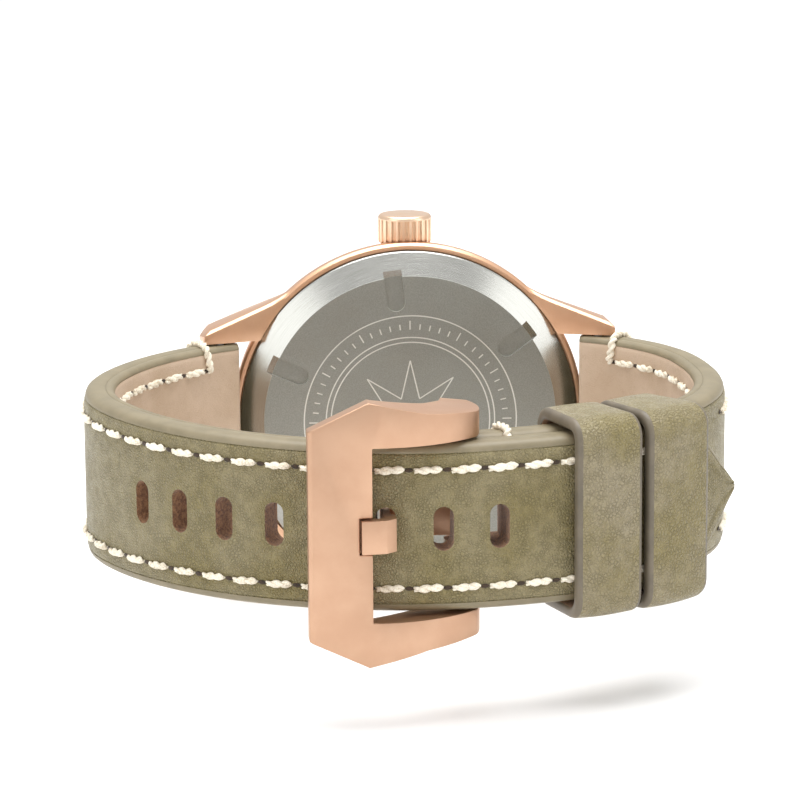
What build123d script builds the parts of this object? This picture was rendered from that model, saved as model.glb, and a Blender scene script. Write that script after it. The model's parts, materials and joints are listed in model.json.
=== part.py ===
from build123d import *
import math
import os

# Dive watch on a closed leather strap, standing on its nine o'clock flank, in millimetres.
# Everything is drawn in the case's own frame and moved to the row frame when it is written:
#   +X towards twelve o'clock, +Z towards the crown at three o'clock, +Y out through the dial,
#   Y = 0 at the rim of the case back, X = Z = 0 on the case axis.

ROW_SHIFT = (2.627, 24.3, 21.4)   # moves the case frame to the centre of the footprint

# ---- case ----
CASE_R = 21.4            # flank radius beside the case back
CASE_TOP_R = 20.0        # flank radius under the bezel
CASE_BACK_Y = 0.25
CASE_TOP_Y = 8.2
LUG_GAP = 20.2           # between the lugs' inner faces
LUG_TIP_X = 25.3
LUG_TIP_Z = 11.7
LUG_SLOPE = 20.6         # degrees between a lug's outer line and X
LUG_BLEND_R = 14.0       # hollow curve from a lug's outer line to the flank
LUG_LEAN = 0.7           # share of the flank's taper that the lug's outer line follows
LUG_CHAMFER = 0.3
FLANK_Y = 2.0            # where the flank starts to taper
BAR_X, BAR_Y = 22.95, -1.23      # spring bar axes
COLLAR_R = 17.0          # collar that the bezel turns on
COLLAR_TOP_Y = 10.9
CAVITY_R = 15.4

# ---- case back ----
BACK_R = 20.5
BACK_FLAT_R = 17.7
BACK_RISE = 1.8
SLOT_COUNT = 6
SLOT_FIRST = 36.5        # angle of the first wrench slot, from +X towards +Z
SLOT_WIDTH = 2.2
SLOT_IN, SLOT_OUT = 14.6, 18.9
ENGRAVED_RINGS = (12.9, 10.25, 9.65)
ENGRAVING_W, ENGRAVING_DEPTH = 0.16, 0.07
TICK_COUNT, TICK_IN, TICK_OUT = 60, 11.2, 11.9
STAR_POINTS, STAR_IN, STAR_OUT = 8, 2.9, 7.4

# ---- crystal, dial and bezel ----
CRYSTAL_R = 15.6
CRYSTAL_Y = 9.8
CRYSTAL_EDGE = 1.7
CRYSTAL_DOME = 0.6
DIAL_R = 15.2
DIAL_Y = 7.4
DIAL_T = 0.4
BEZEL_R = 19.6
BEZEL_Y0, BEZEL_Y1 = 8.55, 11.2
BEZEL_TEETH = 60
INSERT_IN, INSERT_OUT = 17.35, 18.9
INSERT_FLOOR = 10.7

# ---- crown ----
CROWN_R = 3.25
CROWN_Z0, CROWN_Z1 = 20.75, 24.4
CROWN_Y = 4.5
CROWN_FLUTES = 24
STEM_R = 0.5

# ---- movement ----
MOVEMENT_R = 12.9
GEAR_BACKLASH = 0.36     # tooth width at the pitch circle, as a share of the pitch
CENTRE_TEETH, CENTRE_LEAVES, CENTRE_MODULE = 80, 10, 0.14
BARREL_TEETH = 80
THIRD_TEETH, THIRD_LEAVES = 75, 10
FOURTH_TEETH, FOURTH_LEAVES = 80, 10
ESCAPE_LEAVES, ESCAPE_TEETH = 8, 15
ESCAPE_MODULE = 0.11
BARREL_ANGLE, THIRD_ANGLE, ESCAPE_ANGLE = 150.0, 330.0, 245.0
MOTION_MODULE = 0.13
CANNON_TEETH, MINUTE_TEETH, MINUTE_LEAVES, HOUR_TEETH = 12, 36, 12, 48
MOTION_ANGLE = 205.0
TRAIN_DISTANCE = CENTRE_MODULE * (BARREL_TEETH + CENTRE_LEAVES) / 2
THIRD_MODULE = 2 * TRAIN_DISTANCE / (THIRD_TEETH + FOURTH_LEAVES)
ESCAPE_DISTANCE = ESCAPE_MODULE * (FOURTH_TEETH + ESCAPE_LEAVES) / 2
MOTION_DISTANCE = MOTION_MODULE * (CANNON_TEETH + MINUTE_TEETH) / 2
HOUR_MODULE = 2 * MOTION_DISTANCE / (MINUTE_LEAVES + HOUR_TEETH)
BALANCE_DISTANCE, BALANCE_ANGLE, BALANCE_R = 8.7, 256.0, 3.9
PALLET_REACH = 2.5       # from the escape wheel's axis to the pallet fork's

# hand angles, clockwise from twelve, for eight minutes and 36 seconds past ten
SECOND_ANGLE = 216.0
MINUTE_ANGLE = 51.6
HOUR_ANGLE = 304.3

# ---- strap ----
STRAP_T = 3.6            # outer leather and lining together
LINING_T = 1.1
STRAP_GAP = 0.15         # between the two straps where they overlap
STRAP_W0 = 19.9          # width at the spring bars
STRAP_TAPER = 0.014      # half-width lost per millimetre of depth
STRAP_START = (21.3, -0.3)
# (radius, degrees) of each arc of the straps' middle surface, from the lug onwards
SHORT_HEADING = 208.0
SHORT_ARCS = ((20.1, 50.3), (41.4, 14.5), (26.2, 59.2), (48.4, 22.5))
LONG_HEADING = 206.0
LONG_ARCS = ((30.013, 44.0), (21.278, 40.16), (36.64, 57.84), (33.96, 17.5))
TIP_SWEEP = 29.0         # last arc of the long strap, over the short strap's third
HOLE_PITCH = 5.9
HOLE_COUNT = 8
HOLE_L, HOLE_W = 4.8, 2.2
TONGUE_HOLE_X = -7.6
STITCH_PITCH, STITCH_L, STITCH_W, STITCH_H = 3.9, 3.1, 0.9, 0.4
STITCH_INSET = 2.7

# ---- buckle ----
PIVOT_X, PIVOT_Y = 0.4, -51.7
FRAME_X0, FRAME_X1, ARM_X = -16.3, -9.5, 2.1
WINDOW_HALF = 9.5
FRAME_FRONT_Y, FRAME_INNER_Y = -60.0, -57.65
TONGUE_W = 3.6
KEEPER_T, KEEPER_W = 1.3, 7.1


# ---------------------------------------------------------------- basic shapes
def disc(radius, y0, y1, x=0.0, z=0.0):
    """Round plate or pin about an axis parallel to Y."""
    return Pos(x, (y0 + y1) / 2, z) * Rot(90, 0, 0) * Cylinder(radius, y1 - y0)


def ring(outer, inner, y0, y1, x=0.0, z=0.0):
    """Washer or tube about an axis parallel to Y."""
    return disc(outer, y0, y1, x, z) - disc(inner, y0 - 0.1, y1 + 0.1, x, z)


def turned(points):
    """Body turned about the case axis from (radius, y) points."""
    return revolve(make_face(Polyline(*points, close=True)), Axis.Y)


def post(radius, z0, z1, x, y):
    """Round pin parallel to Z."""
    return Pos(x, y, (z0 + z1) / 2) * Cylinder(radius, z1 - z0)


def tube(outer, inner, z0, z1, x, y):
    """Hollow pin parallel to Z."""
    return post(outer, z0, z1, x, y) - post(inner, z0 - 0.1, z1 + 0.1, x, y)


def plate(face, y0, y1):
    """Face drawn in X and Z, made into a plate from y0 to y1."""
    return extrude(Plane.XZ.offset(-y0) * face, -(y1 - y0))


def block(x0, x1, y0, y1, z0, z1):
    """Box between opposite corners."""
    return Pos((x0 + x1) / 2, (y0 + y1) / 2, (z0 + z1) / 2) * Box(x1 - x0, y1 - y0, z1 - z0)


def polar(radius, angle):
    """X and Z of a point on a circle about the case axis, the angle from +X towards +Z."""
    return radius * math.cos(math.radians(angle)), radius * math.sin(math.radians(angle))


def joined(shapes):
    """One body from touching shapes."""
    shapes = list(shapes)
    return shapes[0].fuse(*shapes[1:]) if len(shapes) > 1 else shapes[0]


def apart(shapes):
    """Separate solids kept together in one node."""
    return Compound(children=[solid for shape in shapes for solid in shape.solids()])


# ---------------------------------------------------------------- strap path
class StrapPath:
    """Chain of tangent arcs in the XY plane, followed from the lug to the strap's end.

    The arcs are laid out turning anticlockwise from the -X side; side = 1 keeps them there
    and side = -1 mirrors them to the +X side.
    """

    def __init__(self, side, heading, arcs):
        self.side = side
        self.pieces = []
        x, y, angle = -STRAP_START[0], STRAP_START[1], math.radians(heading)
        travelled = 0.0
        for radius, degrees in arcs:
            centre = (x - radius * math.sin(angle), y + radius * math.cos(angle))
            turn = math.radians(degrees)
            self.pieces.append((travelled, radius * turn, centre, radius, angle))
            angle += turn
            travelled += radius * turn
            x = centre[0] + radius * math.sin(angle)
            y = centre[1] - radius * math.cos(angle)
        self.length = travelled

    def _piece(self, s):
        for piece in self.pieces:
            if s <= piece[0] + piece[1]:
                return piece
        return self.pieces[-1]

    def at(self, s, offset=0.0):
        """Point at length s, moved outwards by offset."""
        start, _, centre, radius, angle = self._piece(s)
        turned_to = angle + (s - start) / radius
        reach = radius + offset
        x, y = centre[0] + reach * math.sin(turned_to), centre[1] - reach * math.cos(turned_to)
        return self.side * x, y

    def facing(self, s):
        """Degrees, about +Z from +X, of the outward normal at length s."""
        near, far = self.at(s), self.at(s, 1.0)
        return math.degrees(math.atan2(far[1] - near[1], far[0] - near[0]))

    def line(self, s0, s1, offset):
        """Arcs from s0 to s1 at one offset."""
        cuts = [s0] + [p[0] + p[1] for p in self.pieces if s0 < p[0] + p[1] - 0.01 < s1 - 0.02] + [s1]
        arcs = []
        for a, b in zip(cuts, cuts[1:]):
            arcs.append(ThreePointArc(self.at(a, offset), self.at((a + b) / 2, offset), self.at(b, offset)))
        return arcs

    def nearest(self, x, low, high):
        """Length between low and high where the path crosses x."""
        for _ in range(40):
            middle = (low + high) / 2
            if (self.at(middle)[0] - x) * (self.at(low)[0] - x) <= 0:
                high = middle
            else:
                low = middle
        return low


def band(path, s0, s1, inner, outer, half_width):
    """Slab along the path between two offsets, centred on z = 0."""
    edges = path.line(s0, s1, outer) + path.line(s0, s1, inner)
    edges.append(Line(path.at(s0, inner), path.at(s0, outer)))
    edges.append(Line(path.at(s1, inner), path.at(s1, outer)))
    return extrude(make_face(edges), half_width, both=True)


def offset_arcs(arcs, amount):
    """The same arcs with larger radii about the same centres."""
    return tuple((radius + amount, degrees) for radius, degrees in arcs)


OVER = STRAP_T + STRAP_GAP
SHORT = StrapPath(-1, SHORT_HEADING, SHORT_ARCS)
LONG = StrapPath(
    1,
    LONG_HEADING,
    LONG_ARCS + offset_arcs((SHORT_ARCS[3], (SHORT_ARCS[2][0], TIP_SWEEP)), OVER),
)
OVERLAP_START = LONG.pieces[3][0] + LONG.pieces[3][1]
TONGUE_HOLE_S = LONG.nearest(TONGUE_HOLE_X, 40.0, OVERLAP_START)


# ---------------------------------------------------------------- case
def lug_outline(sx, sz, radius):
    """Plan of one lug beside a flank of some radius: inner face, tip, outer line and its hollow curve."""
    slope = math.radians(LUG_SLOPE)
    tip = (LUG_TIP_X - 1.2, LUG_TIP_Z - LUG_LEAN * (CASE_R - radius))
    across = math.sin(slope) * tip[0] + math.cos(slope) * tip[1] + LUG_BLEND_R
    flank = radius - 0.15
    reach = flank + LUG_BLEND_R
    along = math.sqrt(reach ** 2 - across ** 2)
    cx = math.sin(slope) * across + math.cos(slope) * along
    cz = math.cos(slope) * across - math.sin(slope) * along
    on_line = (cx - math.sin(slope) * LUG_BLEND_R, cz - math.cos(slope) * LUG_BLEND_R)
    on_flank = (cx * flank / reach, cz * flank / reach)
    dx, dz = (on_line[0] + on_flank[0]) / 2 - cx, (on_line[1] + on_flank[1]) / 2 - cz
    share = LUG_BLEND_R / math.hypot(dx, dz)
    middle = (cx + dx * share, cz + dz * share)
    inner = LUG_GAP / 2
    points = [on_line, tip, (LUG_TIP_X, inner + 0.45), (LUG_TIP_X, inner), (13.0, inner),
              (on_flank[0] - 1.5, on_flank[1] - 5), on_flank]
    sides = Polyline(*[(sx * x, sz * z) for x, z in points]).edges()
    blend = ThreePointArc(*[(sx * x, sz * z) for x, z in (on_flank, middle, on_line)])
    return make_face(sides + [blend])


def lug_profile(sx):
    """Side view of a lug, drooping from the flank to the strap."""
    top = ThreePointArc((sx * 16.0, 7.7), (sx * 22.2, 5.2), (sx * LUG_TIP_X, 0.9))
    tip = Line((sx * LUG_TIP_X, 0.9), (sx * (LUG_TIP_X - 0.5), -2.9))
    base = ThreePointArc((sx * (LUG_TIP_X - 0.5), -2.9), (sx * 20.2, -1.5), (sx * 13.0, 1.0))
    inside = Polyline((sx * 13.0, 1.0), (sx * 5.0, 1.6), (sx * 5.0, 7.7), (sx * 16.0, 7.7))
    return make_face([top, tip, base] + inside.edges())


def lug(sx, sz):
    """One lug that leans in with the flank, its long lower edge chamfered."""
    wide = lug_outline(sx, sz, CASE_R)
    narrow = lug_outline(sx, sz, CASE_TOP_R)
    leaning = loft([Plane.XZ.offset(-FLANK_Y) * wide, Plane.XZ.offset(-CASE_TOP_Y) * narrow], ruled=True)
    body = extrude(lug_profile(sx), CASE_R, both=True) & (plate(wide, -4, FLANK_Y) + leaning)
    long_edges = [edge for edge in body.edges() if abs((edge @ 1).X - (edge @ 0).X) > 4
                  and abs(edge.center().Z) > LUG_TIP_Z + 0.4 and edge.center().Y < 0]
    return chamfer(long_edges, LUG_CHAMFER)


def mid_case():
    shell = turned([
        (18.6, 1.25), (20.65, 1.25), (20.65, CASE_BACK_Y), (21.1, CASE_BACK_Y), (CASE_R, 0.6),
        (CASE_R, FLANK_Y), (CASE_TOP_R, CASE_TOP_Y), (COLLAR_R, CASE_TOP_Y), (COLLAR_R, COLLAR_TOP_Y),
        (16.2, COLLAR_TOP_Y), (16.2, CRYSTAL_Y - 0.05), (CAVITY_R, CRYSTAL_Y - 0.05), (CAVITY_R, 3.3),
        (18.6, 3.3),
    ])
    lugs = [lug(sx, sz) for sx in (1, -1) for sz in (1, -1)]
    body = shell.fuse(*lugs)
    body -= disc(20.65, -4, 1.25) + disc(18.6, 1.0, 3.3) + disc(CAVITY_R, 3.0, 9.0)
    body -= post(CROWN_R + 0.35, CROWN_Z0 - 0.25, 26, 0, CROWN_Y)
    body -= post(1.5, 14, 22, 0, CROWN_Y)
    for sx in (1, -1):
        body -= post(0.58, -LUG_GAP / 2 - 1.5, LUG_GAP / 2 + 1.5, sx * BAR_X, BAR_Y)
    return body


def case_back():
    body = turned([
        (0, -BACK_RISE), (BACK_FLAT_R, -BACK_RISE), (BACK_R - 0.15, -0.12), (BACK_R, 0.0), (BACK_R, 1.15),
        (18.5, 1.15), (18.5, 3.0), (17.0, 3.0), (17.0, -0.3), (0, -0.3),
    ])
    for number in range(SLOT_COUNT):
        angle = SLOT_FIRST + 360 / SLOT_COUNT * number
        slot = block(SLOT_IN, SLOT_OUT, -3, -BACK_RISE + 0.5, -SLOT_WIDTH / 2, SLOT_WIDTH / 2)
        slot += disc(SLOT_WIDTH / 2, -3, -BACK_RISE + 0.5, SLOT_IN, 0)
        body -= Rot(0, -angle, 0) * slot
    return body.cut(*engraving())


def groove(start, end):
    """Straight engraved line between two (x, z) points of the flat."""
    dx, dz = end[0] - start[0], end[1] - start[1]
    length = math.hypot(dx, dz)
    line = block(0, length, -BACK_RISE - 0.1, -BACK_RISE + ENGRAVING_DEPTH, -ENGRAVING_W / 2, ENGRAVING_W / 2)
    return Pos(start[0], 0, start[1]) * Rot(0, -math.degrees(math.atan2(dz, dx)), 0) * line


def engraving():
    """Plain rings, a ring of ticks and an eight-pointed star outline."""
    floor = -BACK_RISE + ENGRAVING_DEPTH
    cuts = [ring(r + ENGRAVING_W / 2, r - ENGRAVING_W / 2, -BACK_RISE - 0.1, floor) for r in ENGRAVED_RINGS]
    for number in range(TICK_COUNT):
        angle = 360 / TICK_COUNT * number
        reach = TICK_OUT if number % 5 else TICK_OUT + 0.4
        cuts.append(groove(polar(TICK_IN, angle), polar(reach, angle)))
    for number in range(2 * STAR_POINTS):
        radii = (STAR_OUT, STAR_IN) if number % 2 == 0 else (STAR_IN, STAR_OUT)
        step = 180 / STAR_POINTS
        cuts.append(groove(polar(radii[0], step * number), polar(radii[1], step * (number + 1))))
    return cuts


def crystal():
    rim, edge_y = CRYSTAL_R - 0.4, CRYSTAL_Y + CRYSTAL_EDGE
    dome = ThreePointArc((0, edge_y + CRYSTAL_DOME), (rim / 2, edge_y + 0.75 * CRYSTAL_DOME), (rim, edge_y))
    sides = Polyline((rim, edge_y), (CRYSTAL_R, edge_y - 0.4), (CRYSTAL_R, CRYSTAL_Y), (0, CRYSTAL_Y),
                     (0, edge_y + CRYSTAL_DOME))
    return revolve(make_face([dome] + sides.edges()), Axis.Y)


def write_case():
    save("mid_case", mid_case())
    save("case_back", case_back())
    save("case_back_gasket", ring(19.6, 19.0, 1.16, 1.24))
    save("crystal", crystal())
    save("crystal_gasket", ring(16.15, 15.65, CRYSTAL_Y, 10.85))
    save("chapter_ring", turned([(13.9, 7.85), (15.2, 7.85), (15.2, 9.7), (14.9, 9.7)]))


# ---------------------------------------------------------------- bezel
def bezel():
    body = turned([
        (COLLAR_R + 0.08, BEZEL_Y0), (BEZEL_R - 0.3, BEZEL_Y0), (BEZEL_R, BEZEL_Y0 + 0.3), (BEZEL_R, 10.2),
        (INSERT_OUT + 0.3, BEZEL_Y1), (INSERT_OUT + 0.04, BEZEL_Y1), (INSERT_OUT + 0.04, INSERT_FLOOR),
        (INSERT_IN - 0.04, INSERT_FLOOR), (INSERT_IN - 0.04, BEZEL_Y1), (COLLAR_R + 0.08, BEZEL_Y1),
    ])
    cutters = []
    for number in range(BEZEL_TEETH):
        x, z = polar(BEZEL_R + 0.12, 360 / BEZEL_TEETH * (number + 0.5))
        cutters.append(disc(0.42, BEZEL_Y0 - 0.5, 12, x, z))
    return body.cut(*cutters)


def bezel_click_spring():
    flat = ring(19.0, 17.2, 8.2, 8.35)
    tongues = []
    for number in range(3):
        tongue = block(17.4, 18.8, 8.35, 8.5, -1.2, 1.2)
        tongues.append(Rot(0, 120 * number, 0) * tongue)
    return flat.fuse(*tongues)


def write_bezel():
    pip_x = (INSERT_IN + INSERT_OUT) / 2
    save("bezel", bezel())
    save("bezel_insert", ring(INSERT_OUT, INSERT_IN, INSERT_FLOOR, 11.25) - disc(0.62, 10, 12, pip_x, 0))
    save("bezel_pip", disc(0.6, INSERT_FLOOR, 11.5, pip_x, 0))
    save("bezel_click_spring", bezel_click_spring())


# ---------------------------------------------------------------- crown
def crown():
    body = post(CROWN_R, CROWN_Z0, CROWN_Z1, 0, CROWN_Y)
    body = chamfer(body.edges().group_by(Axis.Z)[0], 0.35)
    body = fillet(body.edges().group_by(Axis.Z)[-1], 0.5)
    flutes = []
    for number in range(CROWN_FLUTES):
        angle = math.radians(360 / CROWN_FLUTES * number)
        x, y = (CROWN_R + 0.12) * math.cos(angle), (CROWN_R + 0.12) * math.sin(angle)
        flutes.append(post(0.3, CROWN_Z0 - 1, CROWN_Z1 - 0.55, x, CROWN_Y + y))
    body = body.cut(*flutes)
    return body - post(2.3, CROWN_Z0 - 1, CROWN_Z1 - 0.9, 0, CROWN_Y)


def write_crown():
    save("crown", crown())
    save("crown_gasket", tube(2.28, 1.56, 21.4, 22.1, 0, CROWN_Y))
    save("crown_tube", tube(1.45, 0.75, 14.9, 22.9, 0, CROWN_Y))
    stem = post(STEM_R, 9.4, CROWN_Z1 - 0.9, 0, CROWN_Y)
    save("winding_stem", stem - tube(STEM_R + 0.1, STEM_R - 0.15, 11.6, 12.0, 0, CROWN_Y))
    save("winding_pinion", winding_pinion())


def winding_pinion():
    """Small toothed sleeve that the stem drives and slides through."""
    teeth = [Rot(0, 0, 30 * n) * block(0.8, 1.3, -0.12, 0.12, 9.5, 10.3) for n in range(12)]
    sleeve = Pos(0, 0, 9.9) * Cylinder(0.95, 0.8) - Pos(0, 0, 9.9) * Cylinder(STEM_R + 0.04, 2)
    return Pos(0, CROWN_Y, 0) * sleeve.fuse(*teeth)


# ---------------------------------------------------------------- gears
def gear(teeth, module, y0, y1, phase=0.0, share=GEAR_BACKLASH):
    """Straight-flanked spur gear about the Y axis; phase turns it from +X towards +Z, in degrees."""
    pitch_r = teeth * module / 2
    root, tip = pitch_r - 1.15 * module, pitch_r + 0.75 * module
    step = 360 / teeth
    points = []
    for number in range(teeth):
        middle = phase + number * step
        for radius, half in ((root, 0.30), (tip, share / 4), (tip, -share / 4), (root, -0.30)):
            points.append(polar(radius, middle - half * step))
    return plate(make_face(Polyline(*points, close=True)), y0, y1)


def mesh_phase(teeth, angle, driver_teeth, driver_phase):
    """Phase of a gear standing at the given angle from its driver, so a gap meets a tooth."""
    driver_step, step = 360 / driver_teeth, 360 / teeth
    ahead = (angle - driver_phase) / driver_step
    return angle + 180 + step * (0.5 + (ahead - round(ahead)))


def spokes(outer, inner, count, width):
    """Face with the windows between a wheel's spokes."""
    face = Circle(outer) - Circle(inner)
    for number in range(count):
        face -= Rot(0, 0, 360 / count * number) * Pos((outer + inner) / 2, 0) * Rectangle(outer, width)
    return face


def wheel(teeth, module, y0, y1, bore, phase=0.0, arms=5):
    """Spoked train wheel with a bored hub."""
    pitch_r = teeth * module / 2
    windows = plate(spokes(pitch_r - 0.75, bore + 0.75, arms, 0.45), y0 - 0.1, y1 + 0.1)
    return gear(teeth, module, y0, y1, phase) - windows - disc(bore, y0 - 1, y1 + 1)


def moved(shape, place):
    return Pos(place[0], 0, place[1]) * shape


BARREL_AT = polar(TRAIN_DISTANCE, BARREL_ANGLE)
THIRD_AT = polar(TRAIN_DISTANCE, THIRD_ANGLE)
ESCAPE_AT = polar(ESCAPE_DISTANCE, ESCAPE_ANGLE)
MOTION_AT = polar(MOTION_DISTANCE, MOTION_ANGLE)
BALANCE_AT = polar(BALANCE_DISTANCE, BALANCE_ANGLE)


def pallet_place():
    """The pallet fork's pivot, on the line from the escape wheel to the balance."""
    dx, dz = BALANCE_AT[0] - ESCAPE_AT[0], BALANCE_AT[1] - ESCAPE_AT[1]
    distance = math.hypot(dx, dz)
    share = PALLET_REACH / distance
    return ESCAPE_AT[0] + dx * share, ESCAPE_AT[1] + dz * share, math.degrees(math.atan2(dz, dx))


PALLET_X, PALLET_Z, PALLET_ANGLE = pallet_place()


def going_train():
    """Barrel, centre, third, fourth and escape wheels, each meshed with the next."""
    centre = joined([
        gear(CENTRE_LEAVES, CENTRE_MODULE, 3.5, 3.85),
        ring(0.5, 0.3, 3.4, 8.75),
        wheel(CENTRE_TEETH, CENTRE_MODULE, 4.3, 4.45, 0.4),
    ]) - disc(0.3, 3, 9)
    barrel_phase = mesh_phase(BARREL_TEETH, BARREL_ANGLE, CENTRE_LEAVES, 0)
    barrel = joined([
        gear(BARREL_TEETH, CENTRE_MODULE, 3.55, 3.8, barrel_phase),
        disc(5.0, 3.2, 4.15),
    ]) - disc(4.7, 3.3, 4.05) - disc(0.62, 3, 4.5)
    save("centre_wheel", centre)
    save("mainspring_barrel", moved(barrel, BARREL_AT))
    save("barrel_arbor", moved(joined([disc(0.55, 2.3, 4.6), disc(1.1, 3.32, 4.03)]), BARREL_AT))
    save("mainspring", moved(mainspring(), BARREL_AT))

    third_leaves_phase = mesh_phase(THIRD_LEAVES, THIRD_ANGLE, CENTRE_TEETH, 0)
    fourth_leaves_phase = mesh_phase(FOURTH_LEAVES, THIRD_ANGLE + 180, THIRD_TEETH, 0)
    third = joined([
        gear(THIRD_LEAVES, CENTRE_MODULE, 4.2, 4.55, third_leaves_phase),
        disc(0.2, 2.3, 4.9),
        wheel(THIRD_TEETH, THIRD_MODULE, 3.15, 3.3, 0.15),
    ])
    fourth = joined([
        gear(FOURTH_LEAVES, THIRD_MODULE, 3.06, 3.4, fourth_leaves_phase),
        disc(0.22, 2.3, 9.3),
        wheel(FOURTH_TEETH, ESCAPE_MODULE, 2.85, 3.0, 0.15),
        disc(0.4, 2.95, 3.1),
    ])
    save("third_wheel", moved(third, THIRD_AT))
    save("fourth_wheel", fourth)

    escape_phase = mesh_phase(ESCAPE_LEAVES, ESCAPE_ANGLE, FOURTH_TEETH, 0)
    escape = joined([
        gear(ESCAPE_LEAVES, ESCAPE_MODULE, 2.75, 3.1, escape_phase),
        disc(0.18, 2.3, 4.1),
        escape_wheel(3.5, 3.62),
    ])
    save("escape_wheel", moved(escape, ESCAPE_AT))


def mainspring():
    """Coiled strip, drawn as three nested rings joined to one another by short bridges."""
    coils = [ring(r + 0.28, r, 3.4, 3.95) for r in (1.6, 2.7, 3.8)]
    bridges = [block(1.7, 2.8, 3.4, 3.95, -0.15, 0.15), block(-3.9, -2.8, 3.4, 3.95, -0.15, 0.15)]
    return joined(coils + bridges)


def escape_wheel(y0, y1):
    """Fifteen slanted teeth on a thin rim."""
    points = []
    step = 360 / ESCAPE_TEETH
    for number in range(ESCAPE_TEETH):
        start = number * step
        for radius, share in ((1.45, 0.0), (2.0, 0.30), (2.0, 0.42), (1.45, 0.45)):
            points.append(polar(radius, start + share * step))
    face = make_face(Polyline(*points, close=True)) - spokes(1.2, 0.5, 4, 0.3)
    return plate(face, y0, y1)


def pallet_fork():
    """Lever with two pallets that straddle the escape wheel and a fork towards the balance."""
    back, reach = 3.5, 3.62
    angle = math.radians(PALLET_ANGLE)
    along, across = (math.cos(angle), math.sin(angle)), (-math.sin(angle), math.cos(angle))

    def place(u, v):
        return PALLET_X + u * along[0] + v * across[0], PALLET_Z + u * along[1] + v * across[1]

    half = [(-0.25, 0.25), (-0.5, 1.5), (-1.15, 1.95), (-1.0, 2.2), (-0.2, 1.75), (0.25, 0.3), (1.0, 0.12),
            (1.22, 0.4), (1.34, 0.4), (1.26, 0.14)]
    outline = half + [(u, -v) for u, v in reversed(half)]
    lever = plate(make_face(Polyline(*[place(u, v) for u, v in outline], close=True)), back, reach)
    return joined([lever, disc(0.12, 2.75, 3.7, PALLET_X, PALLET_Z)])


def balance():
    """Balance rim with two arms, its staff and the impulse roller above the fork."""
    rim = ring(BALANCE_R, BALANCE_R - 0.45, 3.78, 4.12)
    arm = block(-BALANCE_R + 0.2, BALANCE_R - 0.2, 3.85, 4.05, -0.3, 0.3)
    staff = joined([disc(0.14, 2.35, 4.75), disc(0.5, 3.66, 3.78), disc(0.3, 3.7, 4.1)])
    return moved(joined([rim, arm, staff]), BALANCE_AT)


def hairspring():
    """Flat coiled spring under the balance, drawn as nested rings with a stud."""
    coils = [ring(r + 0.06, r, 3.2, 3.34) for r in (0.5, 0.9, 1.3, 1.7)]
    bridge = [block(0.52, 1.75, 3.2, 3.34, -0.05, 0.05), block(1.7, 2.2, 3.2, 3.34, -0.1, 0.1)]
    return moved(joined(coils + bridge), BALANCE_AT)


def motion_work():
    """Cannon pinion, minute wheel and hour wheel between the main plate and the dial."""
    cannon = joined([gear(CANNON_TEETH, MOTION_MODULE, 6.4, 6.75), ring(0.62, 0.52, 6.4, 8.9)])
    cannon -= disc(0.51, 6, 10)
    wheel_phase = mesh_phase(MINUTE_TEETH, MOTION_ANGLE, CANNON_TEETH, 0)
    hour_phase = mesh_phase(HOUR_TEETH, MOTION_ANGLE + 180, MINUTE_LEAVES, 0)
    minute = joined([
        gear(MINUTE_TEETH, MOTION_MODULE, 6.45, 6.6, wheel_phase),
        gear(MINUTE_LEAVES, HOUR_MODULE, 6.6, 7.1),
    ]) - disc(0.35, 6, 8)
    hour = joined([
        gear(HOUR_TEETH, HOUR_MODULE, 6.85, 7.05, hour_phase),
        ring(1.0, 0.7, 6.85, 8.4),
    ]) - disc(0.7, 6, 9)
    save("cannon_pinion", cannon)
    save("minute_wheel", moved(minute, MOTION_AT))
    save("hour_wheel", hour)


# ---------------------------------------------------------------- movement frame
FOOT_ANGLES = (5, 60, 112, 200, 225)


def main_plate():
    """Dial-side plate that carries every arbor."""
    body = disc(MOVEMENT_R, 4.95, 6.2)
    body -= post(0.75, 8.6, 14, 0, CROWN_Y)
    body -= Pos(0, CROWN_Y, 9.9) * Cylinder(1.5, 1.6)
    body -= disc(0.7, 4, 7)
    body -= disc(BALANCE_R + 0.4, 4.0, 5.3, *BALANCE_AT)
    stud = disc(0.3, 6.1, 7.2, *MOTION_AT)
    feet = [disc(1.2, 2.75, 5.0, *polar(11.4, angle)) for angle in FOOT_ANGLES]
    return joined([body, stud] + feet)


def train_bridge():
    """Back-side plate over the barrel and the train, open over the balance."""
    body = disc(MOVEMENT_R - 0.2, 2.3, 2.72)
    body -= disc(BALANCE_R + 1.0, 2, 3, *BALANCE_AT) + disc(1.4, 2, 3, *COCK_FOOT)
    body -= cock_arm(1.0, 2, 3)
    for place, radius in ((BARREL_AT, 0.65), (THIRD_AT, 0.45), (ESCAPE_AT, 0.45), ((0, 0), 0.45)):
        body -= disc(radius, 2, 3, *place)
    return body - disc(0.2, 2, 3, PALLET_X, PALLET_Z)


COCK_FOOT = polar(11.5, 292.0)


def cock_arm(half_width, y0=2.3, y1=2.7):
    """Bar from the balance's axis to the cock's foot."""
    dx, dz = COCK_FOOT[0] - BALANCE_AT[0], COCK_FOOT[1] - BALANCE_AT[1]
    bar = Pos(math.hypot(dx, dz) / 2, 0) * Rectangle(math.hypot(dx, dz), 2 * half_width)
    return moved(Rot(0, -math.degrees(math.atan2(dz, dx)), 0) * plate(bar, y0, y1), BALANCE_AT)


def balance_cock():
    """Bridge over the balance, standing on one foot."""
    x, z = BALANCE_AT
    foot = disc(1.2, 2.3, 4.95, *COCK_FOOT) & disc(MOVEMENT_R, 2, 6)
    return joined([cock_arm(0.8), disc(1.1, 2.3, 2.7, x, z), foot]) - disc(0.45, 2, 3, x, z)


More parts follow.
